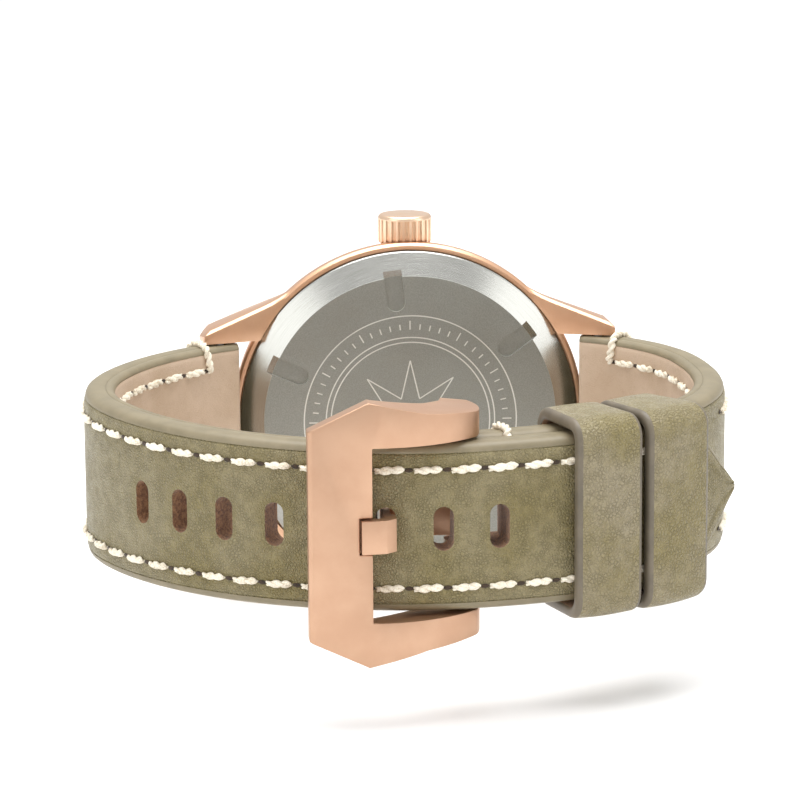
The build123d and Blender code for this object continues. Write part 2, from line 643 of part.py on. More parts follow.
def jewels():
    """Bearing jewels in the bridge and the cock."""
    places = [(THIRD_AT, 0.24), (ESCAPE_AT, 0.22), ((0, 0), 0.26), (BALANCE_AT, 0.17)]
    return apart([ring(0.44, hole, 2.35, 2.65, *place) for place, hole in places])


def screw(radius, x, z, y_head, y_tip):
    """Slotted cheese-head screw with its head towards the case back."""
    body = joined([disc(radius, y_head, y_head + 0.35, x, z), disc(radius * 0.5, y_head, y_tip, x, z)])
    return body - block(x - radius, x + radius, y_head - 0.1, y_head + 0.15, z - 0.1, z + 0.1)


def movement_fixed():
    screw_holes = joined([disc(0.42, 2, 4.6, *polar(11.4, angle)) for angle in FOOT_ANGLES])
    save("main_plate", main_plate() - screw_holes)
    save("train_bridge", train_bridge() - screw_holes)
    save("balance_cock", balance_cock())
    save("jewels", jewels())
    screws = [screw(0.75, *polar(11.4, angle), 1.93, 4.0) for angle in FOOT_ANGLES]
    screws += [screw(0.8, *polar(14.1, angle), 2.45, 5.3) for angle in CLAMP_ANGLES]
    save("movement_screws", apart(screws))
    ring_body = ring(15.2, MOVEMENT_R + 0.1, 3.35, 7.3) - post(1.55, 12, 16, 0, CROWN_Y)
    ring_body -= joined([disc(0.45, 3, 5.5, *polar(14.1, angle)) for angle in CLAMP_ANGLES])
    save("movement_ring", ring_body)
    save("case_clamps", apart([Rot(0, -angle, 0) * clamp() for angle in CLAMP_ANGLES]))


CLAMP_ANGLES = (30, 150, 270)


def clamp():
    """Flat tab that holds the movement ring against the case."""
    return block(13.1, 16.6, 2.85, 3.25, -1.3, 1.3) - disc(0.45, 2, 4, 14.1, 0)


def rotor():
    """Winding weight: a thin half plate with a heavy rim."""
    half = plate(Circle(12.6) & Pos(0, -10) * Rectangle(30, 20), 1.0, 1.35)
    half += plate((Circle(12.6) - Circle(10.6)) & Pos(0, -10) * Rectangle(30, 20), 0.3, 1.35)
    return joined([half, disc(2.2, 0.6, 1.35)]) - disc(1.05, 0, 3)


def write_movement():
    movement_fixed()
    going_train()
    save("pallet_fork", pallet_fork())
    save("balance_wheel", balance())
    save("hairspring", hairspring())
    motion_work()
    save("rotor", rotor())
    save("rotor_bearing", joined([disc(1.0, 0.3, 2.29), disc(1.6, 1.45, 1.7), disc(1.4, 0.2, 0.5)]))


# ---------------------------------------------------------------- dial and hands
def marker(hour):
    """Applied marker at an hour, drawn at twelve o'clock and turned into place."""
    if hour == 0:
        face = make_face(Polyline((10.4, 0), (13.2, 1.5), (13.2, -1.5), close=True))
    elif hour % 3 == 0:
        face = Pos(11.9, 0) * Rectangle(2.6, 1.3)
    else:
        face = Pos(12.2, 0) * Circle(0.85)
    return Rot(0, -30 * hour, 0) * plate(face, DIAL_Y + DIAL_T, DIAL_Y + DIAL_T + 0.25)


def hand(angle, points, bore, hub, y0, y1):
    """Flat hand pointing at an angle clockwise from twelve."""
    both_sides = points + [(x, -z) for x, z in reversed(points) if z > 0]
    blade = plate(make_face(Polyline(*both_sides, close=True)), y0, y1)
    return Rot(0, -angle, 0) * (joined([blade, disc(hub, y0, y1)]) - disc(bore, y0 - 1, y1 + 1))


def write_dial():
    save("dial", disc(DIAL_R, DIAL_Y, DIAL_Y + DIAL_T) - disc(1.3, 7, 9))
    save("dial_markers", apart([marker(hour) for hour in range(12)]))
    hour_points = [(-1.6, 0.25), (1.5, 0.35), (4.0, 0.9), (6.6, 0.9), (8.6, 0)]
    minute_points = [(-1.8, 0.25), (1.5, 0.35), (4.5, 0.8), (10.6, 0.8), (12.6, 0)]
    second_points = [(-4.2, 0.35), (-1.2, 0.12), (12.4, 0.1), (12.9, 0)]
    save("hour_hand", hand(HOUR_ANGLE, hour_points, 1.0, 1.5, 8.05, 8.2))
    save("minute_hand", hand(MINUTE_ANGLE, minute_points, 0.62, 1.2, 8.55, 8.7))
    save("second_hand", hand(SECOND_ANGLE, second_points, 0.22, 0.8, 9.05, 9.17))


# ---------------------------------------------------------------- strap
def taper_prism():
    """Wedge that narrows both straps from the lugs towards the buckle."""
    half = STRAP_W0 / 2
    near, far = half + STRAP_TAPER * 5, half - STRAP_TAPER * 65
    face = make_face(Polyline((5, near), (-65, far), (-65, -far), (5, -near), close=True))
    return extrude(Plane.YZ * face, 60, both=True)


def hole_lengths():
    """Lengths along the long strap of the adjustment holes; the third from the tip takes the tongue."""
    return [TONGUE_HOLE_S + HOLE_PITCH * (number - 5) for number in range(HOLE_COUNT)]


def hole_cutter(path, s):
    """Slot through the strap, long across it."""
    x, y = path.at(s)
    slot = Rectangle(HOLE_W, HOLE_L - HOLE_W)
    slot += Pos(0, (HOLE_L - HOLE_W) / 2) * Circle(HOLE_W / 2)
    slot += Pos(0, -(HOLE_L - HOLE_W) / 2) * Circle(HOLE_W / 2)
    return Pos(x, y, 0) * Rot(0, 0, path.facing(s) + 90) * plate(slot, -4, 4)


def tip_cutters(path, s_end):
    """Two wedges that leave a pointed end on the long strap."""
    x, y = path.at(s_end)
    half = [(0.9, 0), (-8.5, 9.6), (-8.5, 14), (4, 14)]
    face = make_face(Polyline(*half, *[(x, -z) for x, z in reversed(half) if z > 0], close=True))
    return Pos(x, y, 0) * Rot(0, 0, path.facing(s_end) + 90) * plate(face, -6, 6)


def long_strap(prism):
    outer, inner, middle = STRAP_T / 2, -STRAP_T / 2, -STRAP_T / 2 + LINING_T
    cutters = [hole_cutter(LONG, s) for s in hole_lengths()]
    cutters.append(tip_cutters(LONG, LONG.length - 0.5))
    bar = post(0.95, -15, 15, -BAR_X, BAR_Y)
    face = (band(LONG, 0, LONG.length, middle, outer, 10.5) & prism).cut(bar, *cutters)
    lining = (band(LONG, 0, LONG.length, inner, middle, 10.5) & prism).cut(bar, *cutters)
    return face, lining


def short_strap(prism):
    outer, inner, middle = STRAP_T / 2, -STRAP_T / 2, -STRAP_T / 2 + LINING_T
    bars = [post(0.95, -15, 15, BAR_X, BAR_Y), post(0.9, -15, 15, PIVOT_X, PIVOT_Y)]
    end = SHORT.length + 1.5
    slot = block(PIVOT_X - 4, PIVOT_X + 4.6, PIVOT_Y - 4, PIVOT_Y + 4, -2.4, 2.4)
    face = (band(SHORT, 0, end, middle, outer, 10.5) & prism).cut(slot, *bars)
    lining = (band(SHORT, 0, end, inner, middle, 10.5) & prism).cut(slot, *bars)
    return face, lining


def stitch_rows(path, s0, s1):
    """Raised stitches along both edges of a strap's outer face."""
    count = int((s1 - s0) / STITCH_PITCH)
    stitches = []
    for number in range(count):
        s = s0 + STITCH_PITCH * (number + 0.5)
        x, y = path.at(s, STRAP_T / 2 + 0.05 + STITCH_H / 2)
        row = STRAP_W0 / 2 + STRAP_TAPER * y - STITCH_INSET
        for side in (1, -1):
            bar = Pos(x, y, side * row) * Rot(0, 0, path.facing(s)) * Box(STITCH_H, STITCH_L, STITCH_W)
            stitches.append(bar)
    return stitches


def keeper(s0, s1):
    """Leather loop round both straps, on the short strap's path."""
    low, high = -STRAP_T / 2 - 0.25, STRAP_T / 2 + OVER + 0.6
    outer = band(SHORT, s0, s1, low - KEEPER_T, high + KEEPER_T, 9.75 + KEEPER_T)
    x, y = SHORT.at((s0 + s1) / 2, (low + high) / 2 - 0.15)
    section = RectangleRounded(high - low + 2 * KEEPER_T + 0.4, 19.5 + 2 * KEEPER_T, 1.8)
    outer &= Pos(x, y, 0) * Rot(0, 0, SHORT.facing((s0 + s1) / 2)) * plate(section, -8, 8)
    return outer - band(SHORT, s0 - 0.5, s1 + 0.5, low, high, 9.75)


def write_strap():
    prism = taper_prism()
    for name, (face, lining) in (("strap_long", long_strap(prism)), ("strap_short", short_strap(prism))):
        save(name, face)
        save(name + "_lining", lining)
    rows = stitch_rows(LONG, 3.5, FRAME_S - 4.5) + stitch_rows(LONG, FRAME_S + 4.0, LONG.length - 7)
    save("stitching", apart(rows + stitch_rows(SHORT, 3.5, 34.0)))
    save("keeper_fixed", keeper(KEEPER_1_S - KEEPER_W, KEEPER_1_S))
    save("keeper_free", keeper(KEEPER_2_S - KEEPER_W, KEEPER_2_S))


FRAME_S = LONG.nearest((FRAME_X0 + FRAME_X1) / 2, 40.0, OVERLAP_START)
KEEPER_1_S = SHORT.length - 10.4      # lengths along the short strap of each keeper's buckle end
KEEPER_2_S = KEEPER_1_S - 7.75


# ---------------------------------------------------------------- spring bars and buckle
def spring_bar(name, x, y, half, tip):
    """Hollow bar and its two sprung pins."""
    bar = tube(0.85, 0.58, -half, half, x, y) + post(0.85, -half + 2.6, half - 2.6, x, y)
    save(name + "_bar", bar)
    for end, word in ((1, "upper"), (-1, "lower")):
        low, high = sorted((end * (half - 1.2), end * tip))
        save(f"{name}_pin_{word}", post(0.5, low, high, x, y))


def buckle_frame():
    """Front bar and two arms: the side view cut by the front view and by the strap's window."""
    front = Polyline((FRAME_X0, FRAME_INNER_Y), (FRAME_X0, FRAME_FRONT_Y + 0.3),
                     (FRAME_X0 + 0.4, FRAME_FRONT_Y), (-8.5, FRAME_FRONT_Y))
    sweep = ThreePointArc((-8.5, FRAME_FRONT_Y), (-2.4, -58.6), (ARM_X, -55.2))
    end = ThreePointArc((ARM_X, -55.2), (ARM_X + 0.45, -52.0), (ARM_X - 0.5, -49.4))
    hook = Polyline((ARM_X - 0.5, -49.4), (-1.3, -49.4), (-1.5, -50.8))
    under = ThreePointArc((-1.5, -50.8), (-5.0, -54.6), (-9.6, FRAME_INNER_Y))
    back = Line((-9.6, FRAME_INNER_Y), (FRAME_X0, FRAME_INNER_Y))
    side = make_face(front.edges() + [sweep, end] + hook.edges() + [under, back])
    outline = make_face(Polyline(
        (FRAME_X0, 11.4), (-9.9, 14.4), (-3.5, 12.9), (ARM_X + 1, 12.2),
        (ARM_X + 1, -12.2), (-3.5, -12.9), (-9.9, -14.4), (FRAME_X0, -11.4), close=True))
    body = extrude(side, 16, both=True) & plate(outline, -62, -46)
    body -= block(FRAME_X1, 6, -64, -44, -WINDOW_HALF, WINDOW_HALF)
    body -= block(FRAME_X1 - 1.4, FRAME_X1 + 1, -64, FRAME_FRONT_Y + 1.0, -2.0, 2.0)
    return body - post(0.58, -11.7, 11.7, PIVOT_X, PIVOT_Y)


def buckle_tongue():
    """Flat tongue: an eye on the bar, a shank under the strap, and a hook up through its hole."""
    eye = post(1.55, -1.7, 1.7, PIVOT_X, PIVOT_Y)
    shank = Polyline(
        (0.2, -50.6), (-6.3, -51.2), (-8.2, -53.2), (-8.2, -58.6), (-8.7, -59.2), (FRAME_X1 - 1.2, -59.2),
        (FRAME_X1 - 1.2, -60.7), (-8.0, -60.4), (-6.9, -59.4), (-6.9, -57.7), (-7.3, -57.3), (-7.3, -53.0),
        (-6.7, -52.35), (0.2, -52.9), close=True)
    blade = extrude(make_face(shank), TONGUE_W / 2, both=True)
    return joined([blade, eye]) - post(0.93, -3, 3, PIVOT_X, PIVOT_Y)


def write_hardware():
    spring_bar("lug_12", BAR_X, BAR_Y, 8.6, 11.3)
    spring_bar("lug_6", -BAR_X, BAR_Y, 8.6, 11.3)
    spring_bar("buckle", PIVOT_X, PIVOT_Y, 8.2, 11.2)
    save("buckle_frame", buckle_frame())
    save("buckle_tongue", buckle_tongue())


# ---------------------------------------------------------------- output
def save(name, shape):
    """Move a finished piece to the row frame and write its STEP file."""
    export_step(Pos(*ROW_SHIFT) * shape, f"parts/{name}.step")


os.makedirs("parts", exist_ok=True)
write_case()
write_bezel()
write_crown()
write_movement()
write_dial()
write_strap()
write_hardware()
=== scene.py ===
import json
import logging
import math
from dataclasses import dataclass
from enum import Enum
from typing import Iterable, Sequence

import bmesh
import bpy
from mathutils import Matrix, Vector, noise


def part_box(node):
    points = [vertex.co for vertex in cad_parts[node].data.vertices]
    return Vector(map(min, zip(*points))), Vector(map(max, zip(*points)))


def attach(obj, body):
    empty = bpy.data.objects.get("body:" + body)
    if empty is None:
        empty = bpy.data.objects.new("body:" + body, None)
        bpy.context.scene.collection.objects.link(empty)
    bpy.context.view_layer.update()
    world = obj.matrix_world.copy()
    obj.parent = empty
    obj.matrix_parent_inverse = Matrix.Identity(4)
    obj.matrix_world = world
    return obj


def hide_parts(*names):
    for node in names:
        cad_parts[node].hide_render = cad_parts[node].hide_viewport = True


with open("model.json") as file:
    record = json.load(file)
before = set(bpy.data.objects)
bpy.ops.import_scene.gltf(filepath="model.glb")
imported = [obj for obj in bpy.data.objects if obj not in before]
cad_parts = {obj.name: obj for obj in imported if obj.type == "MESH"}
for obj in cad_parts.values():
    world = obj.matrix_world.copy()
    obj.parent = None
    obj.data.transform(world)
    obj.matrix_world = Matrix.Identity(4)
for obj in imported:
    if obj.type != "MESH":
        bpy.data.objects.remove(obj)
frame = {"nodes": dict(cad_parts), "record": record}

log = logging.getLogger("dive_watch")
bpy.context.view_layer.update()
MM = 0.001
BACK_RISE = 1.8                              # the case back's flat stands this far behind its rim, in mm
FACE_SLOT, EDGE_SLOT, CUT_SLOT = 0, 1, 2     # material slots of a leather piece

Point2 = tuple[float, float]
Point3 = tuple[float, float, float]


def case_origin() -> Vector:
    """The case axis at the rim of the case back, in the row frame, in metres."""
    low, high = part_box("case_back")
    return Vector(((low.x + high.x) / 2, low.y + BACK_RISE * MM, (low.z + high.z) / 2))


ORIGIN = case_origin()


def at(x: float, y: float, z: float) -> Vector:
    """A point of the case's own frame, in mm, in the row frame, in metres."""
    return ORIGIN + Vector((x, y, z)) * MM


def linear(red: int, green: int, blue: int) -> tuple[float, float, float, float]:
    """Linear colour of an sRGB colour given from 0 to 255.

    Args:
        red, green, blue: The sRGB channels.

    Returns:
        The linear colour with full alpha.
    """
    def channel(value: float) -> float:
        """One channel's linear value."""
        value /= 255
        return value / 12.92 if value <= 0.04045 else ((value + 0.055) / 1.055) ** 2.4
    return channel(red), channel(green), channel(blue), 1.0


# ---------------------------------------------------------------- node helpers
class Tree:
    """Adds nodes to a shader or geometry tree and joins them by socket name."""

    def __init__(self, tree: bpy.types.NodeTree) -> None:
        """Wraps a tree that is empty or holds only what stays."""
        self.tree = tree

    def link(self, source: bpy.types.NodeSocket, target: bpy.types.NodeSocket) -> None:
        """Joins an output to an input."""
        self.tree.links.new(source, target)

    def feed(self, target: bpy.types.NodeSocket, value: object) -> None:
        """Joins an output to an input, or sets the input to a value.

        Args:
            target: The input.
            value: An output socket or a plain value.
        """
        if isinstance(value, bpy.types.NodeSocket):
            self.link(value, target)
        else:
            target.default_value = value

    def add(self, kind: str, inputs: dict | None = None, **settings: object) -> bpy.types.Node:
        """Adds one node.

        Args:
            kind: The node's type name.
            inputs: Values or output sockets by input name or number.
            settings: Properties of the node.

        Returns:
            The new node.
        """
        node = self.tree.nodes.new(kind)
        for name, value in settings.items():
            setattr(node, name, value)
        for key, value in (inputs or {}).items():
            self.feed(node.inputs[key], value)
        return node

    def math(self, operation: str, *values: object) -> bpy.types.NodeSocket:
        """Result of one Math node on values or sockets."""
        return self.add("ShaderNodeMath", dict(enumerate(values)), operation=operation).outputs[0]

    def ramp(self, value: bpy.types.NodeSocket, low: float, high: float) -> bpy.types.NodeSocket:
        """0 below low, 1 above high, and smooth between."""
        node = self.add("ShaderNodeMapRange", {"Value": value, "From Min": low, "From Max": high},
                        interpolation_type="SMOOTHSTEP")
        return node.outputs["Result"]

    def mix(self, share: object, first: object, second: object) -> bpy.types.NodeSocket:
        """Colour between two colours.

        Args:
            share: 0 for the first colour and 1 for the second.
            first, second: The colours or their sockets.

        Returns:
            The colour's socket.
        """
        node = self.add("ShaderNodeMix", data_type="RGBA")
        for key, value in ((0, share), (6, first), (7, second)):
            self.feed(node.inputs[key], value)
        return node.outputs[2]


def new_group(name: str, kind: str, inputs: Sequence[tuple],
              outputs: Sequence[tuple]) -> tuple[Tree, dict, dict]:
    """Makes a node group with named sockets.

    Args:
        name: The group's name.
        kind: ShaderNodeTree or GeometryNodeTree.
        inputs: (name, socket type, value or None) of each input.
        outputs: (name, socket type) of each output.

    Returns:
        The tree helper, the group's input sockets by name and its output node's inputs by name.
    """
    group = bpy.data.node_groups.new(name, kind)
    for label, socket_type, value in inputs:
        socket = group.interface.new_socket(name=label, in_out="INPUT", socket_type=socket_type)
        if value is not None:
            socket.default_value = value
    for label, socket_type in outputs:
        group.interface.new_socket(name=label, in_out="OUTPUT", socket_type=socket_type)
    tree = Tree(group)
    given = tree.add("NodeGroupInput").outputs
    out = tree.add("NodeGroupOutput").inputs
    return tree, {s.name: s for s in given if s.name}, {s.name: s for s in out if s.name}


# ---------------------------------------------------------------- shader effects
class Effects:
    """Shader node groups that several finishes share, each built once."""

    def __init__(self) -> None:
        """Builds the groups."""
        self.pebble = self._pebble()
        self.wear = self._wear()
        self.lines = self._lines()

    @staticmethod
    def _pebble() -> bpy.types.NodeTree:
        """Fine leather grain: rounded pebbles between dark creases.

        Returns:
            The group's tree.
        """
        tree, given, out = new_group(
            "pebble_grain", "ShaderNodeTree",
            [("Vector", "NodeSocketVector", None), ("Cell", "NodeSocketFloat", 2400.0)],
            [("Height", "NodeSocketFloat"), ("Crease", "NodeSocketFloat"), ("Blotch", "NodeSocketFloat")])
        warp = tree.add("ShaderNodeTexNoise", {"Vector": given["Vector"], "Scale": 900.0, "Detail": 2.0})
        shift = tree.add("ShaderNodeVectorMath", {0: warp.outputs["Color"], 1: (0.0003, 0.0003, 0.0003)},
                         operation="MULTIPLY")
        place = tree.add("ShaderNodeVectorMath", {0: given["Vector"], 1: shift.outputs[0]}, operation="ADD")
        cells = tree.add("ShaderNodeTexVoronoi", {"Vector": place.outputs[0], "Scale": given["Cell"]},
                         feature="DISTANCE_TO_EDGE")
        round_top = tree.ramp(cells.outputs["Distance"], 0.0, 0.32)
        fine = tree.add("ShaderNodeTexNoise", {"Vector": given["Vector"], "Scale": 5200.0, "Detail": 3.0})
        wide = tree.add("ShaderNodeTexNoise", {"Vector": given["Vector"], "Scale": 130.0, "Detail": 4.0})
        fine_part = tree.math("MULTIPLY", fine.outputs["Fac"], 0.35)
        tree.link(tree.math("ADD", round_top, fine_part), out["Height"])
        sharp = tree.math("SUBTRACT", 1.0, tree.ramp(cells.outputs["Distance"], 0.0, 0.16))
        patchy = tree.ramp(tree.add("ShaderNodeTexNoise", {"Vector": given["Vector"], "Scale": 700.0,
                                                          "Detail": 2.0}).outputs["Fac"], 0.36, 0.62)
        tree.link(tree.math("MULTIPLY", sharp, patchy), out["Crease"])
        tree.link(tree.ramp(wide.outputs["Fac"], 0.35, 0.68), out["Blotch"])
        return tree.tree

    @staticmethod
    def _wear() -> bpy.types.NodeTree:
        """Handling marks: soft patches and a fine blasted tooth.

        Returns:
            The group's tree.
        """
        tree, given, out = new_group(
            "handled_metal", "ShaderNodeTree",
            [("Vector", "NodeSocketVector", None), ("Patch", "NodeSocketFloat", 160.0),
             ("Tooth", "NodeSocketFloat", 9000.0)],
            [("Patches", "NodeSocketFloat"), ("Grit", "NodeSocketFloat")])
        patch = tree.add("ShaderNodeTexNoise", {"Vector": given["Vector"], "Scale": given["Patch"],
                                                "Detail": 5.0, "Roughness": 0.6})
        tooth = tree.add("ShaderNodeTexNoise", {"Vector": given["Vector"], "Scale": given["Tooth"],
                                                "Detail": 2.0})
        tree.link(tree.ramp(patch.outputs["Fac"], 0.32, 0.7), out["Patches"])
        tree.link(tooth.outputs["Fac"], out["Grit"])
        return tree.tree

    @staticmethod
    def _lines() -> bpy.types.NodeTree:
        """Brushed lines along whichever axis the vector is least stretched.

        Returns:
            The group's tree.
        """
        tree, given, out = new_group(
            "brushed_lines", "ShaderNodeTree",
            [("Vector", "NodeSocketVector", None), ("Scale", "NodeSocketFloat", 1.0)],
            [("Lines", "NodeSocketFloat")])
        lines = tree.add("ShaderNodeTexNoise", {"Vector": given["Vector"], "Scale": given["Scale"],
                                                "Detail": 6.0, "Roughness": 0.65})
        tree.link(lines.outputs["Fac"], out["Lines"])
        return tree.tree


EFFECTS = Effects()


class Axis(Enum):
    """Direction that a metal's brushed lines run along."""

    ROUND = "round"
    X = "x"
    Z = "z"
    NONE = "none"


LINE_STRETCH = {Axis.X: (60.0, 7000.0, 7000.0), Axis.Z: (7000.0, 7000.0, 60.0)}


def start_material(name: str) -> tuple[bpy.types.Material, Tree, bpy.types.Node, bpy.types.NodeSocket]:
    """Makes a material with a Principled shader.

    Args:
        name: The material's name.

    Returns:
        The material, its tree helper, the shader and the Object coordinates centred on the case.
    """
    material = bpy.data.materials.new(name)
    material.use_nodes = True
    material.node_tree.nodes.clear()
    tree = Tree(material.node_tree)
    shader = tree.add("ShaderNodeBsdfPrincipled")
    tree.add("ShaderNodeOutputMaterial", {"Surface": shader.outputs[0]})
    place = tree.add("ShaderNodeTexCoord").outputs["Object"]
    centred = tree.add("ShaderNodeMapping", {"Vector": place, "Location": -ORIGIN})
    return material, tree, shader, centred.outputs[0]


def polar(tree: Tree, place: bpy.types.NodeSocket) -> tuple[bpy.types.NodeSocket, ...]:
    """Coordinates round the case axis.

    Args:
        tree: The material's tree.
        place: Object coordinates centred on the case.

    Returns:
        The distance from the axis, the angle round it and the height along it.
    """
    x, height, z = tree.add("ShaderNodeSeparateXYZ", {0: place}).outputs
    squares = tree.math("ADD", tree.math("MULTIPLY", x, x), tree.math("MULTIPLY", z, z))
    return tree.math("SQRT", squares), tree.math("ARCTAN2", z, x), height


def wire(tree: Tree, shader: bpy.types.Node, **sockets: object) -> None:
    """Links or sets the shader's sockets; a name's underscores stand for spaces.

    Args:
        tree: The tree that the nodes are added to.
        shader: The Principled node.
        sockets: A value or an output socket for each input.
    """
    for name, value in sockets.items():
        tree.feed(shader.inputs[name.replace("_", " ")], value)


def bump(tree: Tree, height: bpy.types.NodeSocket, depth: float, strength: float = 1.0,
         under: bpy.types.NodeSocket | None = None) -> bpy.types.NodeSocket:
    """Normal of a Bump node, its depth in metres.

    Args:
        tree: The tree that the nodes are added to.
        height: Height over the surface.
        depth: The bump's distance.
        strength: Share of the bump that shows.
        under: Normal that the bump lies on.

    Returns:
        The normal's socket.
    """
    inputs: dict = {"Height": height, "Distance": depth, "Strength": strength}
    if under is not None:
        inputs["Normal"] = under
    return tree.add("ShaderNodeBump", inputs).outputs[0]


@dataclass(frozen=True)
class Metal:
    """Solid metal with handling marks, blasted tooth or brushed lines."""

    name: str
    tone: tuple
    deep: tuple
    roughness: float = 0.38
    spread: float = 0.12
    grit: float = 0.000004
    brushed: Axis = Axis.NONE

    def material(self) -> bpy.types.Material:
        """Builds the material.

        Returns:
            The material.
        """
        material, tree, shader, place = start_material(self.name)
        wear = tree.add("ShaderNodeGroup", {"Vector": place}, node_tree=EFFECTS.wear)
        rough = tree.math("MULTIPLY_ADD", wear.outputs["Patches"], self.spread, self.roughness)
        normal = bump(tree, wear.outputs["Grit"], self.grit)
        if self.brushed is not Axis.NONE:
            lines = self._brushing(tree, place)
            rough = tree.math("MULTIPLY_ADD", lines, self.spread, rough)
            normal = bump(tree, lines, self.grit * 1.5, 1.0, normal)
        colour = tree.mix(wear.outputs["Patches"], self.tone, self.deep)
        wire(tree, shader, Base_Color=colour, Roughness=rough, Normal=normal, Metallic=1.0)
        return material

    def _brushing(self, tree: Tree, place: bpy.types.NodeSocket) -> bpy.types.NodeSocket:
        """Brushed lines, straight or round the case axis.

        Args:
            tree: The tree that the nodes are added to.
            place: Object coordinates centred on the case.

        Returns:
            The lines' socket.
        """
        group = tree.add("ShaderNodeGroup", node_tree=EFFECTS.lines)
        if self.brushed is Axis.ROUND:
            radius, turned, _ = polar(tree, place)
            vector = tree.add("ShaderNodeCombineXYZ", {0: tree.math("MULTIPLY", radius, 9000.0),
                                                       1: tree.math("MULTIPLY", turned, 6.0)}).outputs[0]
        else:
            vector = tree.add("ShaderNodeMapping", {"Vector": place,
                                                    "Scale": LINE_STRETCH[self.brushed]}).outputs[0]
        tree.link(vector, group.inputs["Vector"])
        return group.outputs[0]


@dataclass(frozen=True)
class CaseBackMetal:
    """Titanium back: a blasted grey flat inside a bright bevel brushed round the axis, painted shade in its
    slots.
    """

    name: str = "titanium_back"
    flat: tuple = linear(160, 160, 153)
    dark: tuple = linear(146, 146, 139)
    bright: tuple = linear(198, 198, 194)
    cut: tuple = linear(232, 231, 225)
    bevel_radius: float = 17.72

    def material(self) -> bpy.types.Material:
        """Builds the material.

        Returns:
            The material.
        """
        material, tree, shader, place = start_material(self.name)
        radius, angle, height = polar(tree, place)
        raised = tree.ramp(height, -(BACK_RISE - 0.42) * MM, -(BACK_RISE - 0.5) * MM)
        on_bevel = tree.ramp(radius, self.bevel_radius * MM, (self.bevel_radius + 0.05) * MM)
        wear = tree.add("ShaderNodeGroup", {"Vector": place, "Tooth": 6500.0}, node_tree=EFFECTS.wear)
        grain = tree.add("ShaderNodeTexNoise", {"Vector": place, "Scale": 9000.0, "Detail": 3.0,
                                                "Roughness": 0.6})
        speck = tree.ramp(grain.outputs["Fac"], 0.38, 0.62)
        blasted = tree.mix(speck, self.dark, self.flat)
        turned = tree.math("MULTIPLY", angle, 5.0)
        lined = tree.add("ShaderNodeCombineXYZ", {0: tree.math("MULTIPLY", radius, 9000.0), 1: turned})
        lines = tree.add("ShaderNodeGroup", node_tree=EFFECTS.lines)
        tree.link(lined.outputs[0], lines.inputs["Vector"])
        bevel = tree.mix(lines.outputs[0], self.flat, self.bright)
        colour = tree.mix(on_bevel, blasted, bevel)
        rough_flat = tree.math("MULTIPLY_ADD", wear.outputs["Patches"], 0.08, 0.46)
        rough_bevel = tree.math("MULTIPLY_ADD", lines.outputs[0], 0.16, 0.14)
        gap = tree.math("MULTIPLY", tree.math("SUBTRACT", rough_bevel, rough_flat), on_bevel)
        normal = bump(tree, grain.outputs["Fac"], 0.000009)
        normal = bump(tree, lines.outputs[0], 0.000003, 1.0, normal)
        # painted shade: the sunken slots are darkened a quarter of the way towards the dark tone
        slot_shade = tree.math("MULTIPLY", raised, tree.math("SUBTRACT", 1.0, on_bevel))
        colour = tree.mix(tree.math("MULTIPLY", slot_shade, 0.25), colour, self.dark)
        groove = tree.ramp(height, -(BACK_RISE - 0.015) * MM, -(BACK_RISE - 0.045) * MM)
        shallow = tree.math("MULTIPLY", groove, tree.math("SUBTRACT", 1.0, raised))
        colour = tree.mix(tree.math("MULTIPLY", shallow, tree.math("SUBTRACT", 1.0, on_bevel)), colour,
                          self.cut)
        wire(tree, shader, Base_Color=colour, Roughness=tree.math("ADD", rough_flat, gap), Normal=normal,
             Metallic=1.0)
        return material


@dataclass(frozen=True)
class Hide:
    """Grained leather with a colour that drifts, creases that darken and rubbed places that take the drift
    tone.
    """

    name: str
    face: tuple
    drift: tuple
    crease: tuple
    cell: float = 3100.0
    relief: float = 0.0001
    roughness: float = 0.38
    contrast: float = 0.55

    def material(self) -> bpy.types.Material:
        """Builds the material.

        Returns:
            The material.
        """
        material, tree, shader, place = start_material(self.name)
        grain = tree.add("ShaderNodeGroup", {"Vector": place, "Cell": self.cell}, node_tree=EFFECTS.pebble)
        colour = tree.mix(grain.outputs["Blotch"], self.face, self.drift)
        colour = tree.mix(tree.math("MULTIPLY", grain.outputs["Crease"], self.contrast), colour, self.crease)
        worn = tree.add("ShaderNodeAttribute", attribute_name="rubbed").outputs["Fac"]
        colour = tree.mix(tree.math("MULTIPLY", worn, 0.55), colour, self.drift)
        rough = tree.math("MULTIPLY_ADD", grain.outputs["Crease"], 0.2, self.roughness)
        wire(tree, shader, Base_Color=colour, Roughness=rough,
             Normal=bump(tree, grain.outputs["Height"], self.relief), Specular_IOR_Level=0.42,
             Sheen_Weight=0.06)
        return material


@dataclass(frozen=True)
class EdgePaint:
    """Smooth painted leather edge, slightly wavy, with faint rub marks."""

    name: str = "painted_edge"
    tone: tuple = linear(122, 112, 88)
    rubbed: tuple = linear(134, 123, 98)

    def material(self) -> bpy.types.Material:
        """Builds the material.

        Returns:
            The material.
        """
        material, tree, shader, place = start_material(self.name)
        soft = tree.add("ShaderNodeTexNoise", {"Vector": place, "Scale": 420.0, "Detail": 4.0})
        fine = tree.add("ShaderNodeTexNoise", {"Vector": place, "Scale": 4200.0, "Detail": 3.0})
        colour = tree.mix(tree.ramp(soft.outputs["Fac"], 0.3, 0.7), self.tone, self.rubbed)
        height = tree.math("MULTIPLY_ADD", fine.outputs["Fac"], 0.3, soft.outputs["Fac"])
        rough = tree.math("MULTIPLY_ADD", soft.outputs["Fac"], 0.15, 0.38)
        wire(tree, shader, Base_Color=colour, Roughness=rough, Normal=bump(tree, height, 0.00003))
        return material


